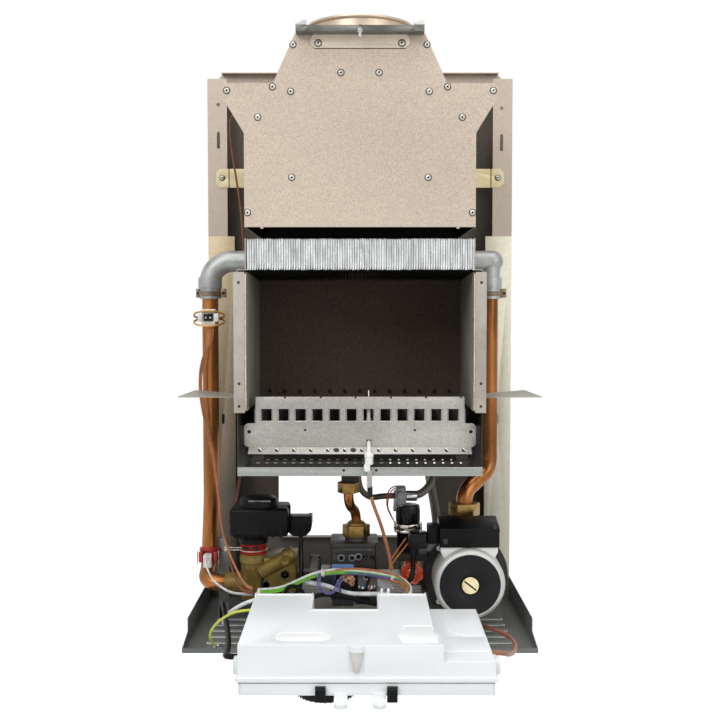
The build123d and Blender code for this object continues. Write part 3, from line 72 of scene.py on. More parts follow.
# centre of the pump (width, height); axes of the three-way valve and of the air vent (width, depth)
PUMP = (141.4, 72.4)
VALVE = (-142, 200)
VENT = (65, 172)
# depth of the hood's front sheet, and of the dial and knobs while the box hangs open
HOOD_FRONT = 306
DIALS = 474
# fins: how many, the first one's place and their pitch
FINS = 93
FIRST_FIN = -138
FIN_PITCH = 3
# turn of the slot in the pump's vent screw, degrees
SLOT_TURN = 38
# finishes by name
looks = {}


# ---------------------------------------------------------------- small tools
def spot(place):
    """Blender position of a place."""
    return Vector((place[0] * MM, -place[1] * MM, place[2] * MM))


def pick(piece):
    """Leaves one piece selected and active, in object mode."""
    if bpy.context.mode != "OBJECT":
        bpy.ops.object.mode_set(mode="OBJECT")
    bpy.ops.object.select_all(action="DESELECT")
    piece.select_set(True)
    bpy.context.view_layer.objects.active = piece


def edit(piece):
    """Opens a piece for editing, with all of it selected."""
    pick(piece)
    bpy.ops.object.mode_set(mode="EDIT")
    bpy.ops.mesh.select_all(action="SELECT")


def done_editing():
    """Leaves edit mode."""
    bpy.ops.object.mode_set(mode="OBJECT")


def soften(piece, width, segments=2, angle=30):
    """Rounds the sharp edges."""
    pick(piece)
    bpy.ops.object.modifier_add(type="BEVEL")
    bevel = piece.modifiers[-1]
    bevel.width = width * MM
    bevel.segments = segments
    bevel.limit_method = "ANGLE"
    bevel.angle_limit = radians(angle)
    bevel.use_clamp_overlap = True
    bpy.ops.object.modifier_apply(modifier=bevel.name)


def cut(piece, tool):
    """Takes the tool's shape out of the piece."""
    pick(piece)
    bpy.ops.object.modifier_add(type="BOOLEAN")
    taking = piece.modifiers[-1]
    taking.operation = "DIFFERENCE"
    taking.object = tool
    bpy.ops.object.modifier_apply(modifier=taking.name)
    bpy.data.objects.remove(tool)


def block(x, depth, z, edge=0.5, segments=2):
    """Rounded block between two widths, two depths and two heights."""
    x = sorted(x)
    middle = spot(((x[0] + x[1]) / 2, (depth[0] + depth[1]) / 2, (z[0] + z[1]) / 2))
    bpy.ops.mesh.primitive_cube_add(size=MM, location=middle)
    piece = bpy.context.object
    piece.scale = (x[1] - x[0], depth[1] - depth[0], z[1] - z[0])
    bpy.ops.object.transform_apply(location=True, rotation=True, scale=True)
    edit(piece)
    if edge:
        bpy.ops.mesh.bevel(offset=edge * MM, segments=segments, affect="EDGES")
    done_editing()
    return piece


def turned(start, along, profile, sides=40):
    """Turned piece: radii at distances along an axis from a starting place."""
    axis = Vector((along[0], -along[1], along[2])).normalized()
    origin = spot(start)
    radius, reach = profile[0]
    bpy.ops.mesh.primitive_circle_add(vertices=sides, radius=radius * MM, fill_type="NGON",
            location=origin + axis * reach * MM, rotation=axis.to_track_quat("Z", "Y").to_euler())
    piece = bpy.context.object
    edit(piece)
    for wider, further in profile[1:]:
        bpy.ops.mesh.extrude_region_move(TRANSFORM_OT_translate={"value": tuple(axis * (further - reach) * MM)})
        if wider != radius:
            ratio = wider / radius
            bpy.ops.transform.resize(value=(ratio, ratio, ratio), center_override=tuple(origin + axis * further * MM))
        radius, reach = wider, further
    bpy.ops.mesh.select_all(action="SELECT")
    bpy.ops.mesh.remove_doubles(threshold=2e-06)
    bpy.ops.mesh.normals_make_consistent(inside=False)
    done_editing()
    bpy.ops.object.transform_apply(location=True, rotation=True, scale=True)
    return piece


def plate(outline, view, level, thick, edge=0):
    """Plate with an outline seen from the front, the side or above, thick from a level onwards."""
    corners = []
    for a, b in outline:
        place = {"front": (a, level, b), "side": (level, a, b), "above": (a, b, level)}[view]
        corners.append(spot(place))
    push = {"front": (0, -1, 0), "side": (1, 0, 0), "above": (0, 0, 1)}[view]
    mesh = bpy.data.meshes.new("plate")
    mesh.from_pydata(corners, [], [list(range(len(corners)))])
    piece = bpy.data.objects.new("plate", mesh)
    bpy.context.scene.collection.objects.link(piece)
    edit(piece)
    bpy.ops.mesh.extrude_region_move(TRANSFORM_OT_translate={"value": tuple(Vector(push) * thick * MM)})
    bpy.ops.mesh.select_all(action="SELECT")
    bpy.ops.mesh.normals_make_consistent(inside=False)
    done_editing()
    if edge:
        soften(piece, edge)
    return piece


def spare(piece, move=(0, 0, 0), turn=None, about=(0, 0, 0)):
    """Copy with a mesh of its own, moved and turned about a place."""
    copy = piece.copy()
    copy.data = piece.data.copy()
    bpy.context.scene.collection.objects.link(copy)
    if turn:
        middle = Matrix.Translation(spot(about))
        copy.data.transform(middle @ Matrix.Rotation(turn[0], 4, turn[1]) @ middle.inverted())
    copy.data.transform(Matrix.Translation(spot(move)))
    return copy


def ring_of(piece, count, about, first=0, sweep=360, axis="Z"):
    """Copies of a piece turned round a place, instead of the piece itself."""
    steps = count if sweep == 360 else count - 1
    copies = [spare(piece, turn=(radians(first + sweep * turn / steps), axis), about=about) for turn in range(count)]
    bpy.data.objects.remove(piece)
    return copies


def together(pieces):
    """Joins pieces; each keeps its own finish."""
    pick(pieces[0])
    for piece in pieces[1:]:
        piece.select_set(True)
    if len(pieces) > 1:
        bpy.ops.object.join()
    return bpy.context.object


def coat(piece, *names):
    """Gives a piece its finishes, by their names."""
    piece.data.materials.clear()
    for name in names:
        piece.data.materials.append(looks[name])
    return piece


def smooth(piece, angle=35):
    """Shades a piece smooth, but for edges sharper than the angle."""
    pick(piece)
    bpy.ops.object.shade_smooth_by_angle(angle=radians(angle))


def place(piece, name, slot, node=None, look=None, body="boiler", angle=35):
    """Names a finished piece or list of pieces, and puts it on its body and in its node's stead; the slot is not
    used.
    """
    if isinstance(piece, list):
        piece = together(piece)
    piece.name = name
    piece.data.name = name
    if look:
        coat(piece, look)
    if piece.type == "MESH":
        smooth(piece, angle)
    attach(piece, body)
    if node:
        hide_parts(node)
    return piece


def dressed(node, width=0.6, segments=2, angle=30):
    """Copy of a CAD piece, merged, with its sharp edges rounded."""
    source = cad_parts[node]
    piece = bpy.data.objects.new(node + "_finished", source.data.copy())
    bpy.context.scene.collection.objects.link(piece)
    edit(piece)
    bpy.ops.mesh.remove_doubles(threshold=5e-06)
    bpy.ops.mesh.dissolve_limited(angle_limit=radians(1))
    done_editing()
    if width:
        soften(piece, width, segments, angle)
    return piece


def shade_faces(piece, number):
    """Gives each face the finish whose number the function names."""
    for face in piece.data.polygons:
        face.material_index = int(number(face))


# ---------------------------------------------------------------- camera
def set_camera():
    """Camera that looks at the boiler as the photo does."""
    lens = bpy.data.cameras.new("camera")
    lens.sensor_width = 36
    lens.lens = 55
    lens.clip_end = 50
    camera = bpy.data.objects.new("camera", lens)
    camera.location = (0, -1.653, 0.432)
    camera.rotation_euler = (radians(90 - 2.88), 0, 0)
    bpy.context.scene.collection.objects.link(camera)
    bpy.context.scene.camera = camera


set_camera()


# ---------------------------------------------------------------- finishes
def feed(tree, node, inputs):
    """Sets the inputs of a shader node: to a constant, or to the socket that feeds them."""
    for name, value in inputs.items():
        if isinstance(value, bpy.types.NodeSocket):
            tree.links.new(value, node.inputs[name])
        else:
            node.inputs[name].default_value = value


def add(tree, kind, inputs=None, **settings):
    """New shader node with its settings and inputs."""
    node = tree.nodes.new("ShaderNode" + kind)
    for name, value in settings.items():
        setattr(node, name, value)
    feed(tree, node, inputs or {})
    return node


def surface(name):
    """New finish: its node tree and its shader."""
    material = bpy.data.materials.new(name)
    material.use_nodes = True
    looks[name] = material
    return material.node_tree, material.node_tree.nodes["Principled BSDF"]


def ramp(tree, level, shades, ends=(0, 1)):
    """Blend between two shades."""
    node = add(tree, "ValToRGB", {"Fac": level})
    for stop, shade, end in zip(node.color_ramp.elements, shades, ends):
        stop.position = end
        stop.color = (*shade, 1)
    return node.outputs["Color"]


def span(tree, level, low, high, least=0, most=1):
    """Level brought from one range to another."""
    node = add(tree, "MapRange", {"Value": level, "From Min": low, "From Max": high, "To Min": least, "To Max": most})
    return node.outputs["Result"]


def times(tree, first, second):
    """Product of two colours."""
    node = add(tree, "Mix", {"Factor": 1, "A": first, "B": second}, data_type="RGBA", blend_type="MULTIPLY")
    return node.outputs["Result"]


def higher(tree, first, second):
    """The higher of two levels."""
    return add(tree, "Math", {0: first, 1: second}, operation="MAXIMUM").outputs["Value"]


def relieved(tree, shader, height, strength, distance):
    """Gives a finish its fine relief."""
    bump = add(tree, "Bump", {"Strength": strength, "Distance": distance, "Height": height})
    tree.links.new(bump.outputs["Normal"], shader.inputs["Normal"])


def finish(name, shades, metal=0, gloss=(0.45, 0.6), patch=14, grain=700, speckle=0.06, relief=0.15,
        stretch=(1, 1, 1), clear=0, ior=1.45, alpha=1, crystals=None, fade=None):
    """Surface with soft patches between two shades, fine speckle, uneven gloss and a fine relief.

    Crystals (size, amount) are the pattern of hot-dip zinc. A fade (axis, start, end, shades) is painted shade: it
    darkens the surface from one side of the boiler to the other.
    """
    tree, shader = surface(name)
    where = add(tree, "TexCoord").outputs["Object"]
    drawn = add(tree, "Mapping", {"Vector": where, "Scale": stretch}).outputs["Vector"]
    patches = add(tree, "TexNoise", {"Vector": drawn, "Scale": patch, "Detail": 4}).outputs["Fac"]
    grains = add(tree, "TexNoise", {"Vector": where, "Scale": grain, "Detail": 2}).outputs["Fac"]
    colour = times(tree, ramp(tree, patches, shades, (0.36, 0.64)),
            span(tree, grains, 0.3, 0.7, 1 - speckle, 1 + speckle))
    if crystals:
        size, amount = crystals
        cells = add(tree, "TexVoronoi", {"Vector": where, "Scale": 1 / (size * MM)}).outputs["Color"]
        tone = add(tree, "SeparateColor", {"Color": cells}).outputs["Red"]
        colour = times(tree, colour, span(tree, tone, 0, 1, 1 - amount, 1 + amount))
    if fade:
        axis, start, end, ends = fade
        level = add(tree, "SeparateXYZ", {"Vector": where}).outputs[axis]
        colour = times(tree, colour, ramp(tree, span(tree, level, start, end), ends))
    feed(tree, shader, {"Base Color": colour, "Roughness": span(tree, patches, 0.35, 0.65, *gloss), "Metallic": metal,
            "IOR": ior, "Coat Weight": clear, "Coat Roughness": 0.12, "Alpha": alpha})
    relieved(tree, shader, grains, relief, 0.0004)


def sleeve_pattern(name, shades, around, per_metre, gloss=0.4, metal=0, depth=0.6):
    """Pattern wound round a hose or lead, on its own coordinates: two crossing spirals."""
    tree, shader = surface(name)
    where = add(tree, "TexCoord").outputs["UV"]
    waves = []
    for turn in (0.8, -0.8):
        wound = add(tree, "Mapping", {"Vector": where, "Scale": (per_metre, around, 1), "Rotation": (0, 0, turn)})
        waves.append(add(tree, "TexWave", {"Vector": wound.outputs["Vector"], "Scale": 0.5}).outputs["Fac"])
    most = higher(tree, *waves)
    feed(tree, shader, {"Base Color": ramp(tree, most, shades), "Roughness": gloss, "Metallic": metal})
    relieved(tree, shader, most, depth, 0.0006)


# name, two shades, metal, gloss, size of the patches, fineness of the speckle, its strength, relief, stretch
finish("zinc_sheet", ((0.43, 0.365, 0.3), (0.48, 0.41, 0.34)), 0.35, (0.42, 0.55), 5, 620, 0.14, 0.25,
        crystals=(4, 0.03))
finish("hood_zinc", ((0.475, 0.392, 0.315), (0.525, 0.435, 0.35)), 0.3, (0.45, 0.56), 4, 620, 0.17, 0.25,
        crystals=(4, 0.035))
finish("spigot_zinc", ((0.5, 0.41, 0.31), (0.58, 0.48, 0.38)), 0.6, (0.3, 0.42), 6, 700, 0.08, 0.12,
        crystals=(6, 0.05))
# painted shade: dark zinc for the back panel and for holes and screw rings that lie in shade
finish("painted_shade_zinc", ((0.085, 0.07, 0.055), (0.13, 0.11, 0.09)), 0.4, (0.4, 0.55), 10, 900, 0.15, 0.2,
        crystals=(5, 0.06))
# painted shade: both lower channels darken towards the bottom, the left one far more, and the left one is a darker
# copy of the same sheet
finish("channel_zinc", ((0.68, 0.645, 0.52), (0.79, 0.755, 0.62)), 0.3, (0.4, 0.55), 9, 1200, 0.1, 0.2,
        crystals=(5, 0.04), fade=("Z", 0.1, 0.45, ((0.8, 0.8, 0.8), (1, 1, 0.98))))
finish("left_channel_zinc", ((0.5, 0.42, 0.31), (0.6, 0.51, 0.38)), 0.3, (0.4, 0.55), 7, 620, 0.15, 0.25,
        crystals=(4, 0.04), fade=("Z", 0.16, 0.5, ((0.22, 0.22, 0.22), (1, 0.94, 0.82))))
# painted highlight: glints on the jets under the burner
finish("painted_glint", ((0.8, 0.8, 0.78), (0.92, 0.92, 0.9)), 0.2, (0.2, 0.3), 90, 700, 0.05)
finish("chamber_zinc", ((0.34, 0.31, 0.27), (0.43, 0.4, 0.36)), 0.4, (0.4, 0.6), 12, 1000, 0.14, 0.25,
        crystals=(4, 0.05))
finish("burner_plate_zinc", ((0.34, 0.325, 0.29), (0.41, 0.395, 0.355)), 0.4, (0.35, 0.5), 8, 620, 0.16, 0.2,
        crystals=(4, 0.05))
finish("bar_zinc", ((0.25, 0.26, 0.245), (0.36, 0.37, 0.345)), 0.5, (0.35, 0.5), 30, 620, 0.15, 0.2, (0.1, 1, 6))
finish("wing_zinc", ((0.27, 0.255, 0.21), (0.37, 0.355, 0.3)), 0.4, (0.45, 0.6), 12, 800, 0.15)
finish("latch_zinc", ((0.56, 0.48, 0.38), (0.62, 0.54, 0.44)), 0.3, (0.4, 0.5), 22, 800, 0.1, crystals=(1.6, 0.06))
finish("rim_zinc", ((0.5, 0.5, 0.47), (0.62, 0.62, 0.58)), 0.4, (0.3, 0.42), 60, 900, 0.1)
# painted shade: dark steel for the latch flange in shade and for the dim jets
finish("painted_shade_steel", ((0.1, 0.1, 0.085), (0.17, 0.17, 0.15)), 0.6, (0.3, 0.42), 16, 900, 0.1)
finish("tab_chromate", ((0.6, 0.5, 0.28), (0.68, 0.6, 0.38)), 0.3, (0.3, 0.45), 26, 600, 0.1)
finish("screw_zinc", ((0.42, 0.4, 0.36), (0.58, 0.56, 0.52)), 0.8, (0.25, 0.36), 90, 900, 0.1)
finish("tray_coat", ((0.105, 0.115, 0.11), (0.15, 0.16, 0.15)), 0.1, (0.4, 0.52), 8, 1500, 0.14, 0.3)
finish("rail_coat", ((0.21, 0.195, 0.175), (0.29, 0.27, 0.245)), 0.1, (0.42, 0.55), 8, 1500, 0.14, 0.3)
# bare metal, and painted highlight where it lines the tray's edges and the burner's rims
finish("bare_metal_and_highlight", ((0.42, 0.43, 0.4), (0.62, 0.63, 0.6)), 0.6, (0.3, 0.45), 60, 900, 0.15)
finish("fin_silver", ((0.46, 0.48, 0.47), (0.7, 0.72, 0.71)), 0.5, (0.35, 0.55), 260, 700, 0.16, 0.2, (1, 1, 0.15))
finish("elbow_alloy", ((0.3, 0.31, 0.3), (0.4, 0.41, 0.4)), 0.7, (0.38, 0.5), 40, 500, 0.1)
finish("pipe_copper", ((0.15, 0.055, 0.012), (0.47, 0.185, 0.055)), 0.8, (0.24, 0.4), 45, 600, 0.12, 0.12,
        (1, 1, 0.12))
finish("gas_copper", ((0.19, 0.068, 0.018), (0.4, 0.155, 0.055)), 0.85, (0.22, 0.36), 40, 600, 0.1)
finish("coil_copper", ((0.1, 0.05, 0.026), (0.72, 0.4, 0.24)), 0.9, (0.2, 0.32), 300, 600, 0.2)
finish("block_brass", ((0.135, 0.09, 0.014), (0.2, 0.135, 0.03)), 0.4, (0.42, 0.58), 60, 650, 0.38, 0.5)
finish("tail_brown", ((0.03, 0.022, 0.01), (0.05, 0.036, 0.018)), 0.3, (0.5, 0.65), 60, 650, 0.3, 0.4)
finish("nut_brass", ((0.2, 0.12, 0.03), (0.36, 0.23, 0.08)), 0.85, (0.25, 0.4), 70, 600, 0.12)
finish("screw_brass", ((0.86, 0.7, 0.36), (0.95, 0.84, 0.55)), 0.6, (0.3, 0.4), 120, 900, 0.08)
finish("clip_brown", ((0.16, 0.115, 0.07), (0.26, 0.2, 0.13)), 0.6, (0.35, 0.5), 60, 620, 0.15)
finish("seam_brown", ((0.34, 0.31, 0.28), (0.44, 0.41, 0.38)), 0, (0.5, 0.6), 60, 620, 0.15)
# painted shade: near black for the hood's inner faces
finish("painted_shade_black", ((0.004, 0.0035, 0.003), (0.009, 0.008, 0.007)), 0, (0.7, 0.85), 20, 620, 0.3, ior=1.3)
# painted shade and painted shadow: dark brown for places in shade under and behind other parts
finish("painted_shade_brown", ((0.012, 0.01, 0.008), (0.028, 0.024, 0.018)), 0.2, (0.55, 0.7), 20, 620, 0.3)
# painted shade: the fins are near black below height 474, along their wavy lower edges, and keep their own grey from
# 480
finish("fin_with_painted_shade", ((0.46, 0.465, 0.43), (0.62, 0.63, 0.58)), 0.5, (0.4, 0.55), 60, 700, 0.14, fade=("Z", 0.474, 0.48,
        ((0.03, 0.028, 0.02), (0.8, 0.8, 0.8))))
finish("vent_chrome", ((0.42, 0.4, 0.36), (0.6, 0.57, 0.52)), 0.95, (0.16, 0.26), 90, 700, 0.1)
finish("bracket_zinc", ((0.22, 0.22, 0.21), (0.32, 0.32, 0.3)), 0.4, (0.42, 0.55), 20, 620, 0.16)
finish("plate_slate", ((0.045, 0.046, 0.048), (0.075, 0.076, 0.078)), 0.2, (0.35, 0.5), 60, 700, 0.15)
finish("connector_slate", ((0.06, 0.066, 0.072), (0.1, 0.11, 0.115)), 0.2, (0.3, 0.45), 60, 700, 0.15)
# painted light: a lighter copy of the board for its inward side faces, as if lit
finish("side_board_painted_light", ((0.2, 0.18, 0.15), (0.27, 0.245, 0.205)), 0, (0.75, 0.9), 8, 560, 0.25, 0.7)
finish("dark_board", ((0.052, 0.036, 0.019), (0.074, 0.053, 0.029)), 0, (0.75, 0.9), 8, 560, 0.4, 0.6)
finish("board_edge", ((0.55, 0.44, 0.3), (0.75, 0.62, 0.44)), 0, (0.75, 0.9), 60, 500, 0.25, 0.6)
finish("blade_zinc", ((0.16, 0.16, 0.15), (0.3, 0.3, 0.28)), 0.6, (0.4, 0.6), 30, 700, 0.2)
finish("tube_bronze", ((0.075, 0.058, 0.036), (0.15, 0.12, 0.08)), 0.5, (0.4, 0.6), 30, 700, 0.2)
finish("spark_ceramic", ((0.78, 0.76, 0.7), (0.88, 0.87, 0.82)), 0, (0.2, 0.35), 90, 700, 0.06)
finish("spark_steel", ((0.45, 0.42, 0.38), (0.6, 0.57, 0.52)), 0.9, (0.3, 0.4), 90, 700, 0.1)
finish("vessel_grey", ((0.13, 0.12, 0.11), (0.18, 0.165, 0.15)), 0.1, (0.35, 0.5), 10, 900, 0.12)
finish("black_moulding", ((0.0028, 0.0028, 0.003), (0.0055, 0.0055, 0.006)), 0, (0.3, 0.45), 30, 900, 0.25, 0.3,
        ior=1.22)
finish("glossy_black", ((0.003, 0.003, 0.0035), (0.006, 0.006, 0.0065)), 0, (0.18, 0.3), 40, 900, 0.1, 0.1, ior=1.3)
finish("charcoal_moulding", ((0.01, 0.0105, 0.012), (0.018, 0.018, 0.02)), 0, (0.35, 0.5), 30, 900, 0.15, 0.25)
finish("white_moulding", ((0.805, 0.83, 0.84), (0.84, 0.862, 0.872)), 0, (0.38, 0.5), 9, 1100, 0.02, 0.12)
# painted light: a brighter copy of the white moulding for the lit recess floors
finish("moulding_painted_light", ((0.955, 0.965, 0.97), (0.97, 0.98, 0.985)), 0, (0.4, 0.5), 9, 1100, 0.01, 0.08)
finish("boss_shade", ((0.62, 0.6, 0.57), (0.72, 0.7, 0.67)), 0, (0.4, 0.5), 40, 1100, 0.05, 0.12)
finish("cream_moulding", ((0.78, 0.76, 0.7), (0.85, 0.83, 0.78)), 0, (0.35, 0.5), 60, 900, 0.04)
finish("ring_red", ((0.2, 0.012, 0.004), (0.33, 0.022, 0.008)), 0, (0.45, 0.6), 120, 700, 0.15, ior=1.25)
finish("wheel_red", ((0.46, 0.028, 0.004), (0.62, 0.065, 0.01)), 0, (0.15, 0.28), 90, 700, 0.08, 0.1, clear=0.5)
finish("clip_red", ((0.3, 0.012, 0.008), (0.44, 0.03, 0.018)), 0, (0.3, 0.42), 90, 700, 0.1)
finish("pump_silver", ((0.5, 0.5, 0.47), (0.62, 0.62, 0.59)), 0.35, (0.38, 0.5), 26, 1200, 0.12, 0.2)
finish("neck_silver", ((0.72, 0.71, 0.68), (0.8, 0.79, 0.76)), 0.2, (0.4, 0.5), 26, 1200, 0.08)
finish("disc_black", ((0.007, 0.006, 0.007), (0.011, 0.0095, 0.011)), 0, (0.38, 0.48), 30, 1300, 0.1, 0.05, ior=1.3)
finish("cast_black", ((0.013, 0.0115, 0.0105), (0.027, 0.024, 0.022)), 0.2, (0.5, 0.68), 40, 420, 0.25, 0.6)
finish("valve_alloy", ((0.022, 0.02, 0.017), (0.04, 0.036, 0.031)), 0.4, (0.4, 0.58), 50, 600, 0.2, 0.4)
finish("tee_grey", ((0.3, 0.31, 0.31), (0.4, 0.41, 0.41)), 0, (0.4, 0.5), 60, 700, 0.1)
finish("bail_brass", ((0.42, 0.21, 0.05), (0.6, 0.34, 0.11)), 0.6, (0.3, 0.42), 90, 700, 0.08)
finish("grey_block", ((0.14, 0.145, 0.15), (0.2, 0.205, 0.21)), 0.1, (0.4, 0.55), 60, 700, 0.15)
finish("plate_blue", ((0.1, 0.2, 0.42), (0.15, 0.27, 0.5)), 0.1, (0.3, 0.4), 90, 700, 0.08)
finish("exchanger_steel", ((0.36, 0.34, 0.31), (0.5, 0.46, 0.4)), 0.85, (0.28, 0.42), 20, 700, 0.1)
finish("turned_steel", ((0.46, 0.46, 0.45), (0.56, 0.56, 0.55)), 0.95, (0.2, 0.32), 60, 700, 0.06)
finish("clear_sleeve", ((0.55, 0.57, 0.56), (0.68, 0.7, 0.69)), 0, (0.2, 0.35), 90, 700, 0.05, 0.1, alpha=0.55)
finish("print_board", ((0.025, 0.11, 0.05), (0.04, 0.16, 0.07)), 0, (0.3, 0.45), 90, 700, 0.15)
finish("knob_grey", ((0.16, 0.165, 0.17), (0.2, 0.205, 0.21)), 0, (0.35, 0.48), 60, 900, 0.1)
finish("tie_ivory", ((0.62, 0.62, 0.5), (0.76, 0.76, 0.64)), 0, (0.3, 0.45), 200, 900, 0.05)
SHEATHS = {
    "green": (0.17, 0.46, 0.05), "white": (0.82, 0.84, 0.84), "salmon": (0.5, 0.2, 0.1), "brown": (0.24, 0.09, 0.045),
    "purple": (0.14, 0.12, 0.3), "blue": (0.05, 0.09, 0.26), "orange": (0.66, 0.2, 0.025), "red": (0.42, 0.05, 0.02),
    "black": (0.006, 0.006, 0.0065), "loop_brown": (0.36, 0.15, 0.085),
}
for shade_name, shade in SHEATHS.items():
    darker = tuple(part * 0.75 for part in shade)
    finish(shade_name + "_sheath", (darker, shade), 0, (0.34, 0.46), 120, 900, 0.06, 0.1,
            ior=1.2 if shade_name == "black" else 1.32)
sleeve_pattern("earth_sheath", ((0.8, 0.78, 0.035), (0.5, 0.6, 0.04)), 1, 30, 0.35)
sleeve_pattern("hose_braid", ((0.016, 0.014, 0.012), (0.3, 0.28, 0.24)), 6, 90, 0.4, 0.5, 0.9)


# ---------------------------------------------------------------- cords
HARNESS = [
    (-129, 243, 60), (-108, 241.5, 60), (-84, 242, 70), (-58, 243, 83), (-28, 243.5, 87.5), (2, 243.5, 86),
    (28, 243.5, 82.5), (51, 247, 79), (63, 268, 73), (62, 294, 71), (54, 312, 71), (52, 330.7, 71),
]
IGNITION = [
    (11, 311.5, 236), (12, 311.5, 200), (18.5, 306, 180), (26.5, 292, 157), (33, 276, 131), (38.5, 262, 108),
    (41, 252, 91),
]
EARTH = [(-127.3, 350, 66), (-146, 350, 66), (-168, 336, 52), (-184, 316, 32), (-188, 298, 14), (-183, 290, 4.5)]
MAINS = [
    (-187, 179, 1.3), (-187, 179, 20), (-184, 202, 36), (-176, 246, 36), (-166, 298, 31), (-158, 350, 33),
    (-152, 402, 36), (-149, 446, 42), (-147, 470, 50), (-143, 488, 54), (-127.3, 488, 54),
]
LOOP = [
    (130.3, 212, 9), (150, 212, 9), (172, 238, 10), (186, 268, 12), (191, 308, 15), (187, 352, 22), (178, 400, 31),
    (167, 442, 41), (156, 468, 52), (141.3, 468, 52),
]
THERMOSTAT = [
    (-200, 162, 401.7), (-200, 162, 387), (-208, 165, 372), (-216, 163, 346), (-217, 163, 316), (-212, 166, 284),
    (-203, 168, 250), (-195, 172, 206), (-189, 184, 164), (-181, 210, 124), (-163, 233, 90), (-147, 243, 64),
    (-139.3, 243, 64),
]
SENSOR = [
    (-206.6, 182.5, 94), (-206.6, 194, 90), (-203, 206, 79), (-192, 219, 66), (-171, 231, 56), (-152, 241, 56),
    (-139.3, 241, 56),
]
VALVE_LEAD = [
    (-79, 200, 125), (-79, 200, 103), (-77, 212, 80), (-79, 230, 58), (-94, 241, 42), (-116, 243, 34),
    (-134, 243, 38), (-134, 243, 53.7),
]
PLUG_LEAD = [(69.5, 230, 103), (69.5, 231, 93), (69, 234, 83), (66, 238, 74), (59, 242, 71)]
FLUE_LEAD = [
    (-167, 150, 691), (-175, 150, 691), (-178, 138, 664), (-174, 116, 620), (-168, 96, 572), (-166, 80, 520),
    (-166, 70, 464), (-167, 66, 406), (-166, 68, 346), (-167, 72, 286), (-166, 80, 226), (-172, 106, 176),
    (-175, 150, 130), (-176, 196, 92), (-160, 232, 66), (-149, 246, 60), (-139.3, 246, 60),
]
VESSEL_HOSE = [
    (98, 60, 224), (98, 60, 200), (101, 82, 178), (104, 110, 156), (106, 136, 138), (106, 152, 122), (106, 152, 104),
]
TEE_HOSE = [
    (62, 177, 174), (77, 177, 174), (90, 166, 180), (98, 143, 187), (101, 116, 193), (101, 88, 200), (101, 88, 224),
]
BENT_TUBE = [(-3, 214, 223), (-3, 214, 206), (1, 208, 186), (14, 196, 174), (31, 177, 174), (48, 177, 174)]


def lead(name, route, radius, look, facets=3):
    """Lead along a route of control points, on one smooth NURBS line."""
    curve = bpy.data.curves.new(name, "CURVE")
    curve.dimensions = "3D"
    curve.bevel_depth = radius * MM
    curve.bevel_resolution = facets
    curve.resolution_u = 8
    curve.use_fill_caps = True
    line = curve.splines.new("NURBS")
    line.points.add(len(route) - 1)
    for point, stop in zip(line.points, route):
        point.co = (*spot(stop), 1)
    line.order_u = 3
    line.use_endpoint_u = True
    curve.materials.append(looks[look])
    piece = bpy.data.objects.new(name, curve)
    bpy.context.scene.collection.objects.link(piece)
    return piece


def beside(route, first, middle, last, swing=0):
    """Control points of a strand that lies beside a route: its offset changes from end to middle to end."""
    strand = []
    for index, stop in enumerate(route):
        share = 2 * index / (len(route) - 1)
        near, far, part = (first, middle, share) if share < 1 else (middle, last, share - 1)
        offset = [a + (b - a) * part for a, b in zip(near, far)]
        wander = swing * sin(2.1 * index)
        strand.append((stop[0] + offset[0], stop[1] + offset[1] + wander, stop[2] + offset[2] - wander / 2))
    return strand


def as_mesh(piece):
    """Turns a lead into a mesh."""
    pick(piece)
    bpy.ops.object.convert(target="MESH")
    return bpy.context.object


HARNESS_STRANDS = [
    ("green", 0, 1.5, (0, 3.6, 2), (0, 2.6, 0.2), (-2, 0, 1.5)),
    ("green", 0, 1.5, (0, 3.8, -0.4), (0, 3.2, -1.4), (-1, 0, -1.5)),
    ("white", 0, 1.3, (0, -1, 3.6), (0, 0, 3), (3.4, 0, 2)),
    ("white", 0, 1.2, (0, 1.4, 3.8), (0, 3, 2.2), (4.2, 0, -0.5)),
    ("salmon", 0, 1.35, (0, 2.5, -2.2), (0, 2.6, 4.4), (-4, 0, 1.6)),
    ("salmon", 0, 1.35, (0, 0, -3.4), (0, 0.2, 5.2), (-4.2, 0, -1.2)),
    ("purple", 3, 1.2, (0, 2, -2), (0, 3.5, -3.2), (1.5, 0, 2.4)),
    ("purple", 3, 1.2, (0, 0, -2.4), (0, 1.2, -3.8), (1.5, 0, -2.4)),
    ("purple", 3, 1.2, (0, 3.4, -0.8), (0, 4.2, -1.4), (2.6, 0, 0.4)),
    ("blue", 6, 1.2, (0, 1, -2), (0.6, 0.5, 1), (0, 0, 2.8)),
    ("orange", 6, 1.3, (-2, 2, -4), (-4, 0, 0), (-3, 0, -2.8)),
    ("orange", 6, 1.3, (-2, 0, -5), (-3.6, 0, -2), (-1.4, 0, -3.4)),
]


def bend(piece):
    """Bakes a lead's placement into its mesh."""
    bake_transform(piece)


def lay_harness():
    """Strands of the main bundle, from the tie at the left to the box."""
    strands = []
    for colour, start, radius, first, middle, last in HARNESS_STRANDS:
        route = beside(HARNESS[start:], first, middle, last, 0.35)
        strands.append(as_mesh(lead("strand", route, radius, colour + "_sheath")))
    bundle = together(strands)
    bundle.name = bundle.data.name = "harness_strands"
    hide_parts("harness")
    bend(bundle)


def lay_ignition_lead():
    """Lead below the spark plug's boot, with its clear sleeve and black collar."""
    wire = as_mesh(lead("wire", IGNITION, 2.2, "salmon_sheath", 4))
    collar = coat(turned((12.2, 311.2, 196), UP, [(2.9, 0), (3.3, 1), (3.3, 12), (2.8, 14)], 24), "glossy_black")
    sleeve = coat(turned((11.6, 311.5, 208), UP, [(2.9, 0), (3.5, 2), (3.5, 19), (3.2, 21)], 24), "clear_sleeve")
    whole = place([wire, collar, sleeve], "ignition_lead", "lead_cover")
    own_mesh(whole)


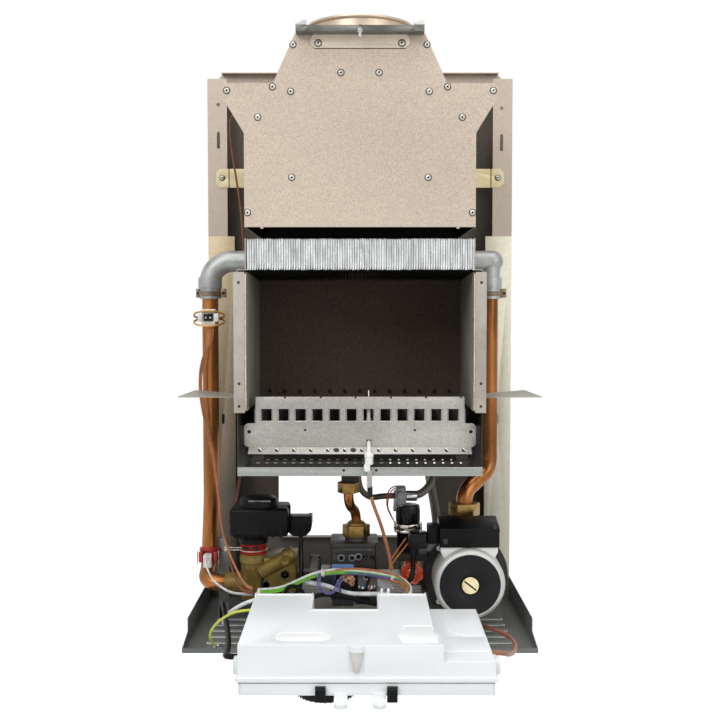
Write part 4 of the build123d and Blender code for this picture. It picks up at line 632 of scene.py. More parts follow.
def lay_box_leads():
    """Earth lead and its ring, mains cable and the brown loop: all cross to the control box."""
    earth = as_mesh(lead("earth_lead", EARTH, 1.6, "earth_sheath"))
    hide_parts("box_leads")
    bend(earth)
    mains = as_mesh(lead("mains_cable", MAINS, 3.4, "black_sheath", 5))
    bend(mains)
    loop = as_mesh(lead("brown_loop", LOOP, 2.8, "loop_brown_sheath", 5))
    bend(loop)
    ring = turned((-179, 286, 1.2), UP, [(5, 0), (5, 0.9), (3.6, 0.9), (3.6, 3), (3.2, 3.4)], 24)
    barrel = block((-184.5, -180.5), (288, 296), (1.6, 5.6), 1.2)
    place([coat(ring, "screw_zinc"), coat(barrel, "screw_zinc")], "earth_ring", "zinc")


def lay_frame_leads():
    """Leads that stay with the frame, each as its own strands."""
    rows = [
        ("thermostat_lead_a", THERMOSTAT, "salmon", 1.3, (-1.2, 0, 0), (-1.3, 1, 0.4), (0, 0, 1.6)),
        ("thermostat_lead_b", THERMOSTAT, "salmon", 1.3, (1.2, 0, 0), (1.1, 1, -0.4), (0, 0, -0.8)),
        ("foot_sensor_lead_a", SENSOR, "white", 1, (-1, 0, 0), (0, 1, 1), (0, 1, 1)),
        ("foot_sensor_lead_b", SENSOR, "white", 1, (1, 0, 0), (0, -1, -1), (0, -1, -1)),
        ("flue_lead_a", FLUE_LEAD, "brown", 1.1, (0, -0.9, 0), (-0.9, 0, 0), (0, 0, 1.2)),
        ("flue_lead_b", FLUE_LEAD, "brown", 1.1, (0, 0.9, 0), (0.9, 0, 0), (0, 0, -1.2)),
    ]
    for name, route, colour, radius, first, middle, last in rows:
        strand = lead(name, beside(route, first, middle, last, 0.3), radius, colour + "_sheath")
        place(strand, name, "lead_cover")
    valve = lead("valve_lead", VALVE_LEAD, 3, "glossy_black", 5)
    place(valve, "valve_lead", "black_cable", "root_wiring")
    place(lead("pump_lead", PLUG_LEAD, 3.2, "black_sheath", 5), "pump_lead", "black_cable")


def tie(name, middle, size, turn):
    """Ivory cable tie with its square head."""
    x, depth, z = middle
    strap = turned((x - 1.6, depth, z), RIGHT, [(size, 0), (size + 0.5, 0.5), (size + 0.5, 2.7), (size, 3.2)], 20)
    head = block((x - 2.4, x + 2.4), (depth + size - 1.2, depth + size + 1.4), (z - 2.4, z + 2.4), 0.7)
    whole = together([strap, head])
    spin = Matrix.Translation(spot(middle)) @ Matrix.Rotation(turn, 4, "Y") @ Matrix.Translation(-spot(middle))
    whole.data.transform(spin)
    place(whole, name, "lead_cover", look="tie_ivory")


def lay_small_wires():
    """Thin wires seen between the valves, each with its own few points."""
    rows = [
        ("purple_loop_a", "purple", 1.1, [(-52, 247, 85), (-57, 250, 74), (-50, 252, 62), (-40, 252, 60),
            (-31, 251, 66), (-28, 248, 78)]),
        ("purple_loop_b", "purple", 1.1, [(-50, 248, 86), (-54, 251, 72), (-46, 253, 60), (-36, 252, 59),
            (-27, 251, 68), (-22, 248, 80)]),
        ("purple_drop", "purple", 1, [(-24, 249, 82), (-29, 250, 74), (-25, 247, 66), (-26, 242, 58)]),
        ("orange_wire_a", "orange", 0.8, [(60, 228, 127), (52, 232, 117), (44, 238, 107), (39, 242, 100),
            (38, 244, 90)]),
        ("orange_wire_b", "orange", 0.8, [(63, 229, 121), (55, 233, 112), (47, 238, 103), (41, 242, 96),
            (40, 244, 88)]),
        ("red_twist_a", "red", 0.8, [(49, 205, 192), (41, 206, 191), (36, 207, 181), (35, 208, 169), (38, 209, 157),
            (45, 209, 146)]),
        ("red_twist_b", "red", 0.8, [(49, 206, 190), (42, 207, 188), (38, 208, 178), (36, 209, 166), (40, 210, 156),
            (46, 210, 144)]),
        ("white_cable", "white", 3, [(-76, 240, 74), (-58, 241, 70), (-44, 241, 68), (-28, 241, 61.5),
            (-12, 241, 56.5), (12, 242, 57), (34, 242, 57), (50, 243, 54), (64, 244, 50)]),
        ("blue_drop", "blue", 1.1, [(-33, 246, 84), (-32, 243, 78), (-33, 240, 72), (-31, 238, 66)]),
        ("black_arc", "black", 2.6, [(-98, 246, 52), (-97, 248, 64), (-88, 248.6, 70), (-77, 248.6, 66),
            (-71, 248, 54), (-70, 246, 44)]),
        ("black_run", "black", 2.9, [(-70, 244, 46), (-60, 247, 56), (-42, 248, 58), (-20, 248, 56), (-2, 248, 50),
            (20, 247, 45), (40, 244, 42)]),
        ("white_sheath", "white", 2.6, [(-118, 244, 57), (-132, 248, 52), (-148, 253, 48), (-162, 252, 40),
            (-174, 246, 30), (-178, 240, 18)]),
    ]
    for name, colour, radius, route in rows:
        place(lead(name, route, radius, colour + "_sheath"), name, "lead_cover")
    tie("tie_left", (-131, 243.5, 60), 4.6, 0)
    tie("tie_middle", (-48, 243.6, 85), 4.8, -0.25)
    tie("tie_right", (42, 244.8, 79.5), 4.9, 0.4)


def lay_hoses():
    """Braided hoses with their ferrules, the bent tube and the tee."""
    vessel = lead("vessel_hose", VESSEL_HOSE, 6.3, "hose_braid", 6)
    place(vessel, "vessel_hose", "hose_braid", "hoses")
    place(lead("tee_hose", TEE_HOSE, 5.4, "hose_braid", 6), "tee_hose", "hose_braid")
    tube = lead("bent_tube", BENT_TUBE, 4, "tube_bronze", 6)
    place(tube, "bent_tube", "hose_braid")
    ferrule = [(6.2, 0), (7, 0.8), (7, 14), (6.4, 15), (6.4, 18)]
    parts = [
        turned((106, 152, 104), UP, ferrule, 28), turned((98, 60, 224), DOWN, ferrule, 28),
        turned((101, 88, 224), DOWN, ferrule, 28), turned((62, 177, 174), RIGHT, ferrule[:4], 28),
    ]
    place(parts, "hose_ferrules", "zinc", look="turned_steel")
    tee = [
        block((49, 62), (167, 187), (163, 187), 2.5, 3),
        turned((55, 177, 160), UP, [(6, 0), (7, 1), (7, 6), (5, 7)], 28),
        turned((55, 186, 176), OUT, [(5, 0), (6, 0.6), (6, 4), (4.6, 5)], 28),
    ]
    place(tee, "vent_tee", "grey_plastic", look="tee_grey")


def hang_lead_plug():
    """Black plug and socket that hang from the bundle in front of the valve, with ribs and contact pins."""
    body = block((-36, -8), (234, 243), (41, 58), 1.6, 3)
    half = block((-6.5, 14), (235, 242.6), (43, 59), 1.4, 3)
    ribs = [block((x, x + 1.6), (242, 243.6), (43, 56), 0.4) for x in (-33, -29, -25, -19, -14.5)]
    latch = block((-12, 0), (242, 243.8), (48, 53), 0.8)
    black = coat(together([body, half, latch] + ribs), "glossy_black")
    pins = [coat(turned((x, 242.2, z), OUT, [(0.9, 0), (0.9, 0.9)], 10), "neck_silver")
            for z in (46, 55.5) for x in (3.5, 7, 10.5)]
    routes = [
        ("black", [(6, 239, 57), (8, 240, 66), (12, 240.4, 76), (11, 241.5, 85)]),
        ("brown", [(10, 239, 57), (13, 240, 66), (16, 240.4, 75), (17, 241.5, 83)]),
        ("black", [(-22, 239, 56), (-30, 240.5, 63), (-31, 242, 72), (-33, 242, 81)]),
    ]
    wires = [as_mesh(lead("wire", route, 1.1, colour + "_sheath")) for colour, route in routes]
    place([black] + pins + wires, "lead_plug", "black_plastic")


lay_harness()
lay_ignition_lead()
lay_box_leads()
lay_frame_leads()
lay_small_wires()
hang_lead_plug()
lay_hoses()


# ---------------------------------------------------------------- screws
def crossed_screw(x, z, face, radius=4):
    """Pan-head screw with a cross recess, on its shank, seen along the depth."""
    part = radius / 4
    head = turned((x, face, z), OUT, [(1.5, -5), (1.5, 0), (4 * part, 0), (4 * part, 0.7), (3.6 * part, 1.5),
            (2.4 * part, 2.2), (0.8, 2.4)], 28)
    for wide, high in ((2.1, 0.5), (0.5, 2.1)):
        cut(head, block((x - wide, x + wide), (face + 1, face + 4), (z - high, z + high), 0))
    # painted shade: a black disc at the floor of the cross recess
    well = turned((x, face + 1.2, z), OUT, [(1.25 * part, 0), (1.25 * part, 1.25)], 16)
    coat(head, "screw_zinc")
    # painted shadow: a dark ring round the head where it sits on the sheet
    seat = turned((x, face, z), OUT, [(radius + 0.9, 0), (radius + 0.8, 0.15)], 28)
    return together([head, coat(well, "glossy_black"), coat(seat, "painted_shade_brown")])


def fit_hood_screws():
    """Screws of the hood, the casing latch and the two side tabs, each turned its own way."""
    pairs = ((81, 746), (23, 712.5), (106, 695.5), (84, 690), (161.5, 691), (124, 659), (83, 586.5), (137, 544))
    places = [(side * x, z, HOOD_FRONT) for x, z in pairs for side in SIDES]
    places += [(-50.5, 747.5, 307.5), (50.5, 747.5, 307.5), (-199, 615, 51.5), (199, 615, 51.5)]
    height = 600
    first = crossed_screw(0, height, HOOD_FRONT, 3.6)
    screws = [spare(first, (x, face - HOOD_FRONT, z - height), (random.uniform(0, 1.57), "Y"),
            (0, HOOD_FRONT, height)) for x, z, face in places]
    bpy.data.objects.remove(first)
    place(screws, "sheet_screw_heads", "zinc", "sheet_screws")


# ---------------------------------------------------------------- fins
def build_fins():
    """Stamped fins with wavy lower edges, each with its front edge folded over, on five water tubes."""
    low, high = 474, 513
    wave = []
    for step in range(43):
        share = step / 42
        wave.append((130 + 173 * share, low - 8.5 * (1 - share) + 1.4 * sin(step * 1.4)))
    # the fin sheet's finish paints shade along its wavy lower edge
    sheet = coat(plate(wave + [(303, high), (130, high)], "side", -0.25, 0.5), "fin_with_painted_shade")
    fold = coat(plate([(-0.25, 474.6), (1.6, 475.2), (2.15, 478), (2.15, 509), (1.6, 512), (-0.25, 512.6)], "front",
            302.6, 0.9), "fin_silver")
    first = together([sheet, fold])
    fins = [spare(first, (FIRST_FIN + FIN_PITCH * index, random.uniform(-0.9, 0.4), random.uniform(-0.6, 0.3)))
            for index in range(FINS)]
    bpy.data.objects.remove(first)
    tubes = [coat(turned((-140.4, 145 + 36 * row, 491), RIGHT, [(9, 0), (9, 280.8)], 28), "elbow_alloy")
            for row in range(5)]
    tubes += [coat(turned((side * 140.7, 145 + 36 * row, 491), (side, 0, 0), [(9.6, 0), (9.2, 0.7), (6, 1.1),
            (0.6, 1.2)], 28), "elbow_alloy") for side in SIDES for row in range(1, 5)]
    ends = []
    for side in SIDES:
        ends.append(coat(block((side * 139.5, side * 141), (130, 304), (low, high), 0.4), "chamber_zinc"))
        ends.append(coat(block((side * 139.5, side * 151), (130, 296), (low, low + 1.5), 0.3), "chamber_zinc"))
    place(fins + tubes + ends, "fin_pack", "fin_coating", "fin_block", angle=25)


# ---------------------------------------------------------------- pump
def build_pump():
    """Pump motor with its rolled can, dark face disc and slotted vent screw."""
    x, z = PUMP
    can = turned((x, 200, z), OUT, [(44.5, 0), (46, 1.2), (46, 50), (45.4, 53), (44, 55.6), (41.8, 57.4), (40, 58),
            (39.3, 57.9), (39.2, 55)], 96)
    can = coat(can, "pump_silver")
    disc = turned((x, 254, z), OUT, [(39.1, 0), (39.1, 3.9), (38.5, 4.8), (13.6, 5), (13, 4.6), (13, 2.6), (7.2, 2.6),
            (7.2, 0)], 96)
    disc = coat(disc, "disc_black")
    neck = plate([(x - 37, 119), (x + 37, 119), (x + 37, 112), (x + 28, 96), (x - 28, 96), (x - 37, 112)], "front",
            206, 40, 1.2)
    neck = coat(neck, "neck_silver")
    ribs = [coat(turned((x, 205 + 7 * row, z), OUT, [(45.6, 0), (46, 0.3), (46, 1.4), (45.6, 1.7)], 96),
            "pump_silver") for row in range(6)]
    place([can, disc, neck] + ribs, "pump_can", "motor_alloy", "pump_motor")
    screw = turned((x, 257, z), OUT, [(7, -9), (7, 0), (7, 2.1), (10.4, 2.1), (10.9, 2.6), (10.9, 4.3), (10.2, 5),
            (2, 5)], 56)
    groove = block((x - 12, x + 12), (260.2, 264), (z - 1.2, z + 1.2), 0)
    cut(screw, ring_of(groove, 1, (x, 0, z), SLOT_TURN, axis="Y")[0])
    # painted shade: a black strip at the floor of the screw's slot
    floor = coat(block((x - 9.6, x + 9.6), (259.6, 260.3), (z - 1.1, z + 1.1), 0), "glossy_black")
    floor = ring_of(floor, 1, (x, 0, z), SLOT_TURN, axis="Y")
    place([coat(screw, "screw_brass")] + floor, "vent_screw_head", "brass", "vent_screw", body="vent_plug")


def build_terminal_box():
    """Pump's terminal box with its lid, side socket, plug and ribbed strain relief."""
    left, right = 102.9, 179.9
    body = plate([(202, 119), (250, 119), (250, 143), (202, 143)], "side", left, right - left, 1.6)
    lid = plate([(202, 141.5), (250, 141.5), (250, 143.5), (244, 147), (208, 153), (202, 150)], "side", left,
            right - left, 1.2)
    rim = block((left - 0.4, right + 0.4), (201.6, 250.4), (140.2, 141.6), 0.3)
    panel = block((left + 14, right - 10), (249.6, 250.5), (122.5, 138), 0.4)
    socket = block((87.9, left), (212, 238), (121, 145), 1.6)
    box = coat(together([body, lid, rim, panel, socket]), "black_moulding")
    tags = [
        coat(block((left + 4, left + 10), (249.6, 250.7), (124, 131), 0.3), "charcoal_moulding"),
        coat(turned((right - 6, 249.5, 146), OUT, [(2.6, 0), (2.6, 1), (2, 1.5)], 20), "charcoal_moulding"),
    ]
    plug = block((64, 87.9), (214, 236), (114, 135), 3, 3)
    ridges = [block((63.8, 70), (213.8, 236.2), (117 + 4 * row, 118.4 + 4 * row), 0.3) for row in range(4)]
    relief = [turned((69.5, 229, 114 - 2.2 * row), DOWN, [(5.2 - 0.3 * row, 0), (5.2 - 0.3 * row, 1.3)], 24)
            for row in range(6)]
    core = turned((69.5, 229, 114), DOWN, [(3.4, 0), (3.4, 13.5)], 24)
    plugs = coat(together([plug, core] + ridges + relief), "glossy_black")
    place([box, plugs] + tags, "pump_box", "black_plastic", "pump_terminal_box")


def build_pump_housing():
    """Cast volute: the rough casting with its clamp bolts and rib."""
    cast = coat(dressed("pump_housing", 1.6, 3), "cast_black")
    bolts = [turned((PUMP[0] + 50.5 * cos(way), 200, PUMP[1] + 50.5 * sin(way)), OUT, [(4.4, -1), (4.4, 3.2),
            (3.8, 4), (2.2, 4), (2.2, 1.5)], 20) for way in map(radians, (45, 135, 225, 315))]
    place([cast, coat(together(bolts), "turned_steel")], "pump_volute", "cast_body", "pump_housing")


# ---------------------------------------------------------------- air vent and relief valve
def build_air_vent():
    """Air vent: dark body, bright clamp ring, ribbed cap and the little grey bracket behind it."""
    x, depth = VENT
    body = coat(turned((x, depth, 100), UP, [(13, 0), (15, 1.5), (15, 20), (16, 24.4), (17.5, 25)], 48),
            "black_moulding")
    ring = coat(turned((x, depth, 124.6), UP, [(18.6, 0), (19.5, 1), (19.5, 3.4), (18.9, 4.4), (19.5, 5.4),
            (19.5, 11), (18.8, 12.2), (15.6, 12.2)], 56), "vent_chrome")
    cap = coat(turned((x, depth, 137), UP, [(15, 0), (16, 0.8), (16, 21), (15, 24), (12, 25), (5, 25), (4.6, 23.6),
            (0.6, 23.6)], 48), "glossy_black")
    grip = coat(block((x - 0.7, x + 0.7), (depth + 15.4, depth + 16.4), (139, 156), 0.3), "glossy_black")
    grips = ring_of(grip, 24, (x, depth, 0))
    for shell, low, high, size in ((body, 103, 127, 12), (ring, 120, 140, 12), (cap, 136, 150, 10)):
        cut(shell, turned((x, depth, low), UP, [(size, 0), (size, high - low)], 40))
    place([body, ring, cap] + grips, "air_vent_finished", "black_plastic", "air_vent")
    arm = plate([(46, 148), (58, 148), (58, 176), (52, 181), (46, 176)], "front", 150, 1.5, 0.3)
    foot = block((46, 58), (119, 151.5), (148, 149.5), 0.3)
    place([arm, foot], "vent_bracket", "zinc", look="bare_metal_and_highlight")


def build_relief_valve():
    """Relief valve body and its glossy red grip with finger hollows."""
    x, z = 68.5, 79
    wheel = coat(dressed("relief_handwheel", 1.8, 4), "wheel_red")
    boss = coat(turned((x, 222, z), OUT, [(7, 0), (7, 3.4), (5.6, 4.4), (4.2, 4.4)], 32), "wheel_red")
    place([wheel, boss], "relief_grip", "red_plastic", "relief_handwheel", body="handwheel", angle=50)
    body = coat(dressed("relief_valve", 0.9), "nut_brass")
    place(body, "relief_body", "brass", "relief_valve")


# ---------------------------------------------------------------- three-way valve
def build_valve_motor():
    """Valve motor: moulded box with ribs, domed cap with its pale strip, cable socket and neck."""
    x, depth = VALVE
    box = block((-171, -94), (172, 232), (129, 166), 4.5, 3)
    seam = block((-171.4, -93.6), (171.6, 232.4), (148.6, 149.8), 0.4)
    ribs = [block((-165 + 10 * row, -162 + 10 * row), (230, 232.6), (128.6, 138.5), 0.5) for row in range(7)]
    cap = turned((-134.5, 202, 166), UP, [(25.5, -1), (25.5, 6.4), (24.7, 8.8), (22.5, 10.6), (16, 11.8), (0.6, 12)],
            64)
    foot = turned((x, depth, 116), UP, [(19.5, 0), (19.5, 6), (26, 13.5)], 48)
    collar = turned((-106, 202, 158), RIGHT, [(7.5, 0), (8.4, 1), (8.4, 12), (7.4, 13.6)], 32)
    socket = plate([(-95, 152), (-64, 152), (-63.6, 146), (-64.5, 134), (-72, 126), (-88, 126), (-95, 131)], "front",
            186, 28, 2)
    lip = block((-68.5, -63.6), (185.6, 214.4), (140, 152.6), 0.8)
    bands = [block((-91 + 5 * row, -89 + 5 * row), (213, 214.6), (130, 150), 0.4) for row in range(4)]
    black = coat(together([box, seam, cap, foot, collar, socket, lip] + ribs + bands), "black_moulding")
    strip = coat(block((-146, -117), (221.5, 226.4), (174, 176.2), 0.6), "knob_grey")
    place([black, strip], "valve_motor_finished", "black_plastic", "valve_motor")


def build_valve_ring():
    """Red locking ring with slanted teeth and two windows."""
    x, depth = VALVE
    ring = turned((x, depth, 101), UP, [(16.2, 0), (17.3, 0.8), (17.3, 5.2), (16.2, 6), (16.2, 9), (17.3, 9.8),
            (17.3, 14.4), (16.4, 15)], 64)
    tooth = plate([(x - 1.2, 101.6), (x + 0.2, 101.6), (x + 2, 114.6), (x + 0.6, 114.6)], "front", depth + 16, 1.4,
            0.25)
    red = coat(together([ring] + ring_of(tooth, 30, (x, depth, 0))), "ring_red")
    gaps = [coat(block((x - 9 + shift, x - 1 + shift), (depth + 15.6, depth + 17.7), (109.5, 113.2), 0.3),
            "glossy_black") for shift in (-4, 9)]
    place([red] + gaps, "valve_locking_ring", "red_plastic", "valve_ring")


def build_brass_block():
    """Cast brass body: rough face in front, dark tails behind, with collars, a plug and a dark bore."""
    cast = coat(dressed("hydraulic_block", 1), "block_brass", "tail_brown")
    shade_faces(cast, lambda face: face.center.y > -0.172 or (face.center.x > -0.084 and face.center.y > -0.18))
    upper = coat(turned((*VALVE, 92), UP, [(16.7, -3), (18.2, -2), (18.2, 5), (17.2, 6.4), (17.2, 8.6)], 56),
            "block_brass")
    end = coat(turned((-132, 212, 78), (0.86, 0, 0.5), [(9.6, 38), (11.2, 39.5), (11.2, 46), (10.4, 47.2),
            (10.4, 51.4), (9.2, 52.3)], 40), "block_brass")
    plug = coat(turned((-99, 222, 97), OUT, [(6.7, 0), (6.7, 2.6), (6, 3.4), (3.2, 3.4), (2.8, 2.6), (0.8, 2.6)], 36),
            "block_brass")
    rim = coat(turned((-99, 212, 75), OUT, [(7.5, 0), (7.5, 3.6), (6.8, 4.2), (5.2, 4.2), (4.8, 1)], 36),
            "tail_brown")
    # painted shade: black steps down inside the bore
    bore = coat(turned((-99, 212.2, 75), OUT, [(4.9, 0), (4.9, 0.8), (2.4, 0.8), (2.4, 2.2), (1.4, 2.2)], 28),
            "glossy_black")
    low = coat(turned((-125, 214, 62), OUT, [(5.6, -4), (5.6, 0.6), (4.4, 1.2), (4.4, 0)], 28), "glossy_black")
    place([cast, upper, end, plug, rim, bore, low], "brass_block", "brass", "hydraulic_block")


def build_foot_bracket():
    """Pale sheet bracket that stands on the tray beside the flow pipe's foot."""
    sheet = plate([(-194, 1.3), (-181, 1.3), (-181, 97), (-187, 108), (-194, 112)], "front", 148, 1.4, 0.3)
    flange = block((-195.4, -194), (124, 149.4), (1.3, 112), 0.3)
    place([sheet, flange], "pipe_foot_bracket", "galvanised", look="bracket_zinc")


# ---------------------------------------------------------------- gas valve
def build_gas_valve():
    """Gas valve: ribbed cast body, pressure ports, blue plate, copper coil and its plug blocks."""
    cast = coat(dressed("gas_valve_body", 0.9), "valve_alloy")
    ribs = [coat(block((-37, 19), (224, 227.4), (z - 1, z + 1), 0.5), "valve_alloy") for z in (114.5, 107.5, 96.2)]
    panel = coat(block((-22, 16), (224.5, 227.2), (108.8, 113.3), 0.6), "plate_slate")
    arc = turned((10, 225, 92), OUT, [(9.5, 0), (9.5, 2.4), (7.8, 2.4), (7.8, 0.4)], 36)
    post = block((20.4, 23.2), (205, 228), (73, 118), 0.8)
    slots = [coat(block((x, x + 7), (225, 226.9), (98.5, 104.5), 0.4), "glossy_black") for x in (3, 12)]
    dark = coat(together([arc, post]), "valve_alloy")
    ports = []
    for x, z in ((-24.6, 101), (-10.4, 101), (-2, 102.6)):
        ports.append(coat(turned((x, 226, z), OUT, [(4.7, 2), (4.9, 2.9), (4.8, 3.5), (3.3, 3.8), (2.9, 3.3),
                (2.9, 2)], 28), "grey_block"))
        ports.append(coat(turned((x, 226, z), OUT, [(2.8, 2), (2.8, 3.2)], 20), "glossy_black"))
    blue = coat(block((-37, -8), (226, 229), (86.4, 92.4), 0.4), "plate_blue")
    left = coat(block((-52, -34), (196, 232), (67, 84.5), 1.4), "plate_slate")
    right = coat(block((-3, 22.4), (220, 237), (61, 84.5), 1.2), "connector_slate")
    eye = coat(turned((8, 237, 78), OUT, [(4.4, 0), (4.4, 0.7), (3.5, 0.7), (3.3, -0.6)], 28), "turned_steel")
    dot = coat(turned((8, 237, 78), OUT, [(2.3, 0), (2.1, 0.5)], 20), "glossy_black")
    spots = [coat(turned((x, 236.6, z), OUT, [(r, 0), (r, 0.8), (r * 0.6, 1.1)], 20), "neck_silver")
            for x, z, r in ((13.5, 64.5, 3), (3.6, 63.6, 1.6), (-1.2, 65.4, 0.9), (18.8, 66, 0.9))]
    place([cast, dark, panel, blue, left, right, eye, dot] + ribs + slots + ports + spots, "gas_valve_finished",
            "cast_body", "gas_valve_body")
    shell = coat(dressed("gas_valve_coils", 1), "black_moulding")
    turns = [(10.6, 0), (10.6, 3)]
    for row in range(8):
        outer = 10.2 - 1.15 * row
        turns += [(outer, 3 + 0.25 * row), (outer - 0.25, 3.7 + 0.25 * row), (outer - 0.85, 3.3 + 0.25 * row)]
    coil = coat(turned((-17, 229.5, 72), OUT, turns, 48), "coil_copper")
    place([shell, coil], "gas_valve_coil", "black_plastic", "gas_valve_coils")
    flap = plate([(22, 66), (23, 75), (30, 77.5), (36, 72), (44, 64), (45, 61), (30, 61)], "front", 232, 2.4, 0.8)
    place(flap, "clear_flap", "white_plastic", look="clear_sleeve")


def build_nuts():
    """Union nuts with their chamfered corners and the round collars of the gas pipe."""
    nuts = dressed("pipe_nuts", 1.3, 2)
    collars = [
        turned((-15, 232, 201.5), UP, [(9.2, 0), (9.2, 3), (8, 4.4)], 32),
        turned((-5, 200, 139.5), UP, [(12, 0), (12, 2.5), (9.5, 5)], 32),
    ]
    place([nuts] + collars, "union_nuts", "brass", "pipe_nuts", "nut_brass")


fit_hood_screws()
build_fins()
build_pump()
build_terminal_box()
build_pump_housing()
build_air_vent()
build_relief_valve()
build_valve_motor()
build_valve_ring()
build_brass_block()
build_foot_bracket()
build_gas_valve()
build_nuts()


# ---------------------------------------------------------------- burner
def build_burner_plate():
    """Burner's front plate with lances, window rims, flange notches and holes; painted highlight on rims and lances,
    painted shade in the black notches, holes and dots.
    """
    parts = [coat(dressed("burner_front", 0.35), "burner_plate_zinc")]
    # window rims: bright bars, partly painted highlight
    for index in range(12):
        x = 21.2 * index - 116.6
        parts.append(coat(block((x - 7.5, x + 7.5), (285, 285.8), (286, 287), 0.25), "bare_metal_and_highlight"))
    # lances: a bright rod and bar, partly painted highlight, beside a black dot of painted shade
    for index in range(13):
        x = 21.14 * index - 123.4
        lance = turned((x - 2, 289.2, 253.2), (0.66, 0.45, -0.6), [(0.6, -0.6), (0.8, 0.2), (0.8, 4.6), (0.5, 5.2)],
                12)
        parts.append(coat(lance, "neck_silver"))
        parts.append(coat(turned((x - 0.8, 290.5, 250.8), LIP, [(2.7, -0.3), (2.7, 0.25)], 16), "glossy_black"))
        parts.append(coat(block((x + 1.2, x + 3.4), (290.6, 292), (248.6, 249.8), 0.3), "neck_silver"))
    # painted shade: black blocks in the flange notches
    for x in (-93.5, -49, -5.5, 38.6, 82.4, 126):
        parts.append(coat(block((x - 1.1, x + 1.1), (281.5, 285.5), (315.6, 317.4), 0), "glossy_black"))
    # painted shade: black plugs in the holes, with bright rims that are partly painted highlight
    for x, z, size in ((-138.5, 273.5, 2.5), (138.5, 273.5, 2.5), (-68.5, 275.6, 1.6), (68.5, 275.6, 1.6)):
        parts.append(coat(turned((x, 283.6, z), OUT, [(size, 0), (size, 1.45)], 24), "glossy_black"))
        parts.append(coat(turned((x, 284.9, z), OUT, [(size + 0.5, 0), (size + 0.4, 0.35), (size, 0.35), (size, 0)],
                24), "bare_metal_and_highlight"))
    for x in (-29.5, -8.5):
        parts.append(coat(turned((x, 290.2, 251.1), LIP, [(3.6, -0.3), (3.6, 0.3)], 24), "tail_brown"))
    place(parts, "burner_plate", "galvanised", "burner_front")


def build_burner_glints():
    """Painted highlights for the jets on the gas rail below the burner: two rows of small blocks, bright to the right
    and dark to the left.
    """
    parts = []
    for index in range(24):
        x = -126 + 10.9 * index
        shine = "painted_glint" if index > 14 else "painted_shade_steel"
        wide = 1.3 if index > 14 else 2.2
        parts.append(coat(block((x - wide, x + wide), (299.5, 300.8), (235.4, 237.4), 0.4), shine))
        parts.append(coat(block((x - wide, x + wide), (286, 287.6), (237.6, 239.4), 0.4), shine))
    place(parts, "gas_jet_glints", "zinc")


def build_electrode():
    """White ceramic behind the plate with its bent tip, and the plug's boot under the lip."""
    ceramic = turned((11, 274, 264), UP, [(2.3, -1), (2.6, 0), (2.6, 20), (3.4, 21), (3.4, 25), (2.6, 26), (2.6, 43),
            (2.1, 44)], 28)
    slope = turned((11, 311.5, 247), (0, -37.5, 17), [(2.6, 0), (2.6, 41.2), (2.2, 42)], 28)
    tip = coat(turned((11, 274, 305), (0, -0.3, 0.95), [(1, 0), (1, 18.5), (0.5, 20)], 14), "spark_steel")
    ground = coat(turned((7.8, 277, 309), (0.35, -0.2, 0.9), [(0.8, 0), (0.8, 8), (0.4, 9)], 12), "spark_steel")
    boot = turned((11, 311.5, 236), UP, [(4.3, 0), (5.1, 0.8), (5.2, 9), (5.8, 9.8), (5.8, 13), (4.8, 14.2),
            (3.8, 15), (3.4, 16.4), (2.2, 17.2)], 36)
    skirt = block((4.6, 12.7), (307.8, 315.4), (227, 237), 2.4, 3)
    white = coat(together([ceramic, slope, boot, skirt]), "spark_ceramic")
    place([white, tip, ground], "spark_electrode", "ceramic_white", "ignition_electrode")


# ---------------------------------------------------------------- clips and sensors on the pipes
def build_pipe_clips():
    """Brownish clamps at the elbow feet with their ears, the valve's wire clip and the tray's lead clip."""
    parts = []
    for x, ears in ((-205, ((-1, 19), (1, 22))), (178, ((1, 22),))):
        parts.append(coat(turned((x, 145, 444), UP, [(15, 0), (15.9, 0.6), (15.9, 5.4), (15, 6)], 48), "clip_brown"))
        for push, reach in ears:
            parts.append(coat(block((x + push * 14, x + push * reach), (141, 149), (441.5, 454), 1.2), "clip_brown"))
            parts.append(coat(turned((x + push * (reach - 3.4), 148.6, 447.5), OUT, [(2, 0), (2, 0.6)], 20),
                    "glossy_black"))
    for low in (106.5, 109.7):
        parts.append(coat(turned((-178, 206, low), RIGHT, [(0.8, 0), (0.8, 26)], 12), "screw_zinc"))
    parts.append(coat(turned((*VALVE, 105.7), UP, [(17.4, 0), (18.2, 0.4), (18.2, 1.2), (17.4, 1.6)], 48),
            "screw_zinc"))
    parts.append(coat(block((-180, -176.5), (202, 207), (105, 111), 0.6), "screw_zinc"))
    parts.append(coat(block((122, 130), (208, 216), (1.2, 14), 1.2), "black_moulding"))
    place(parts, "pipe_clamps", "zinc", "pipe_clips")


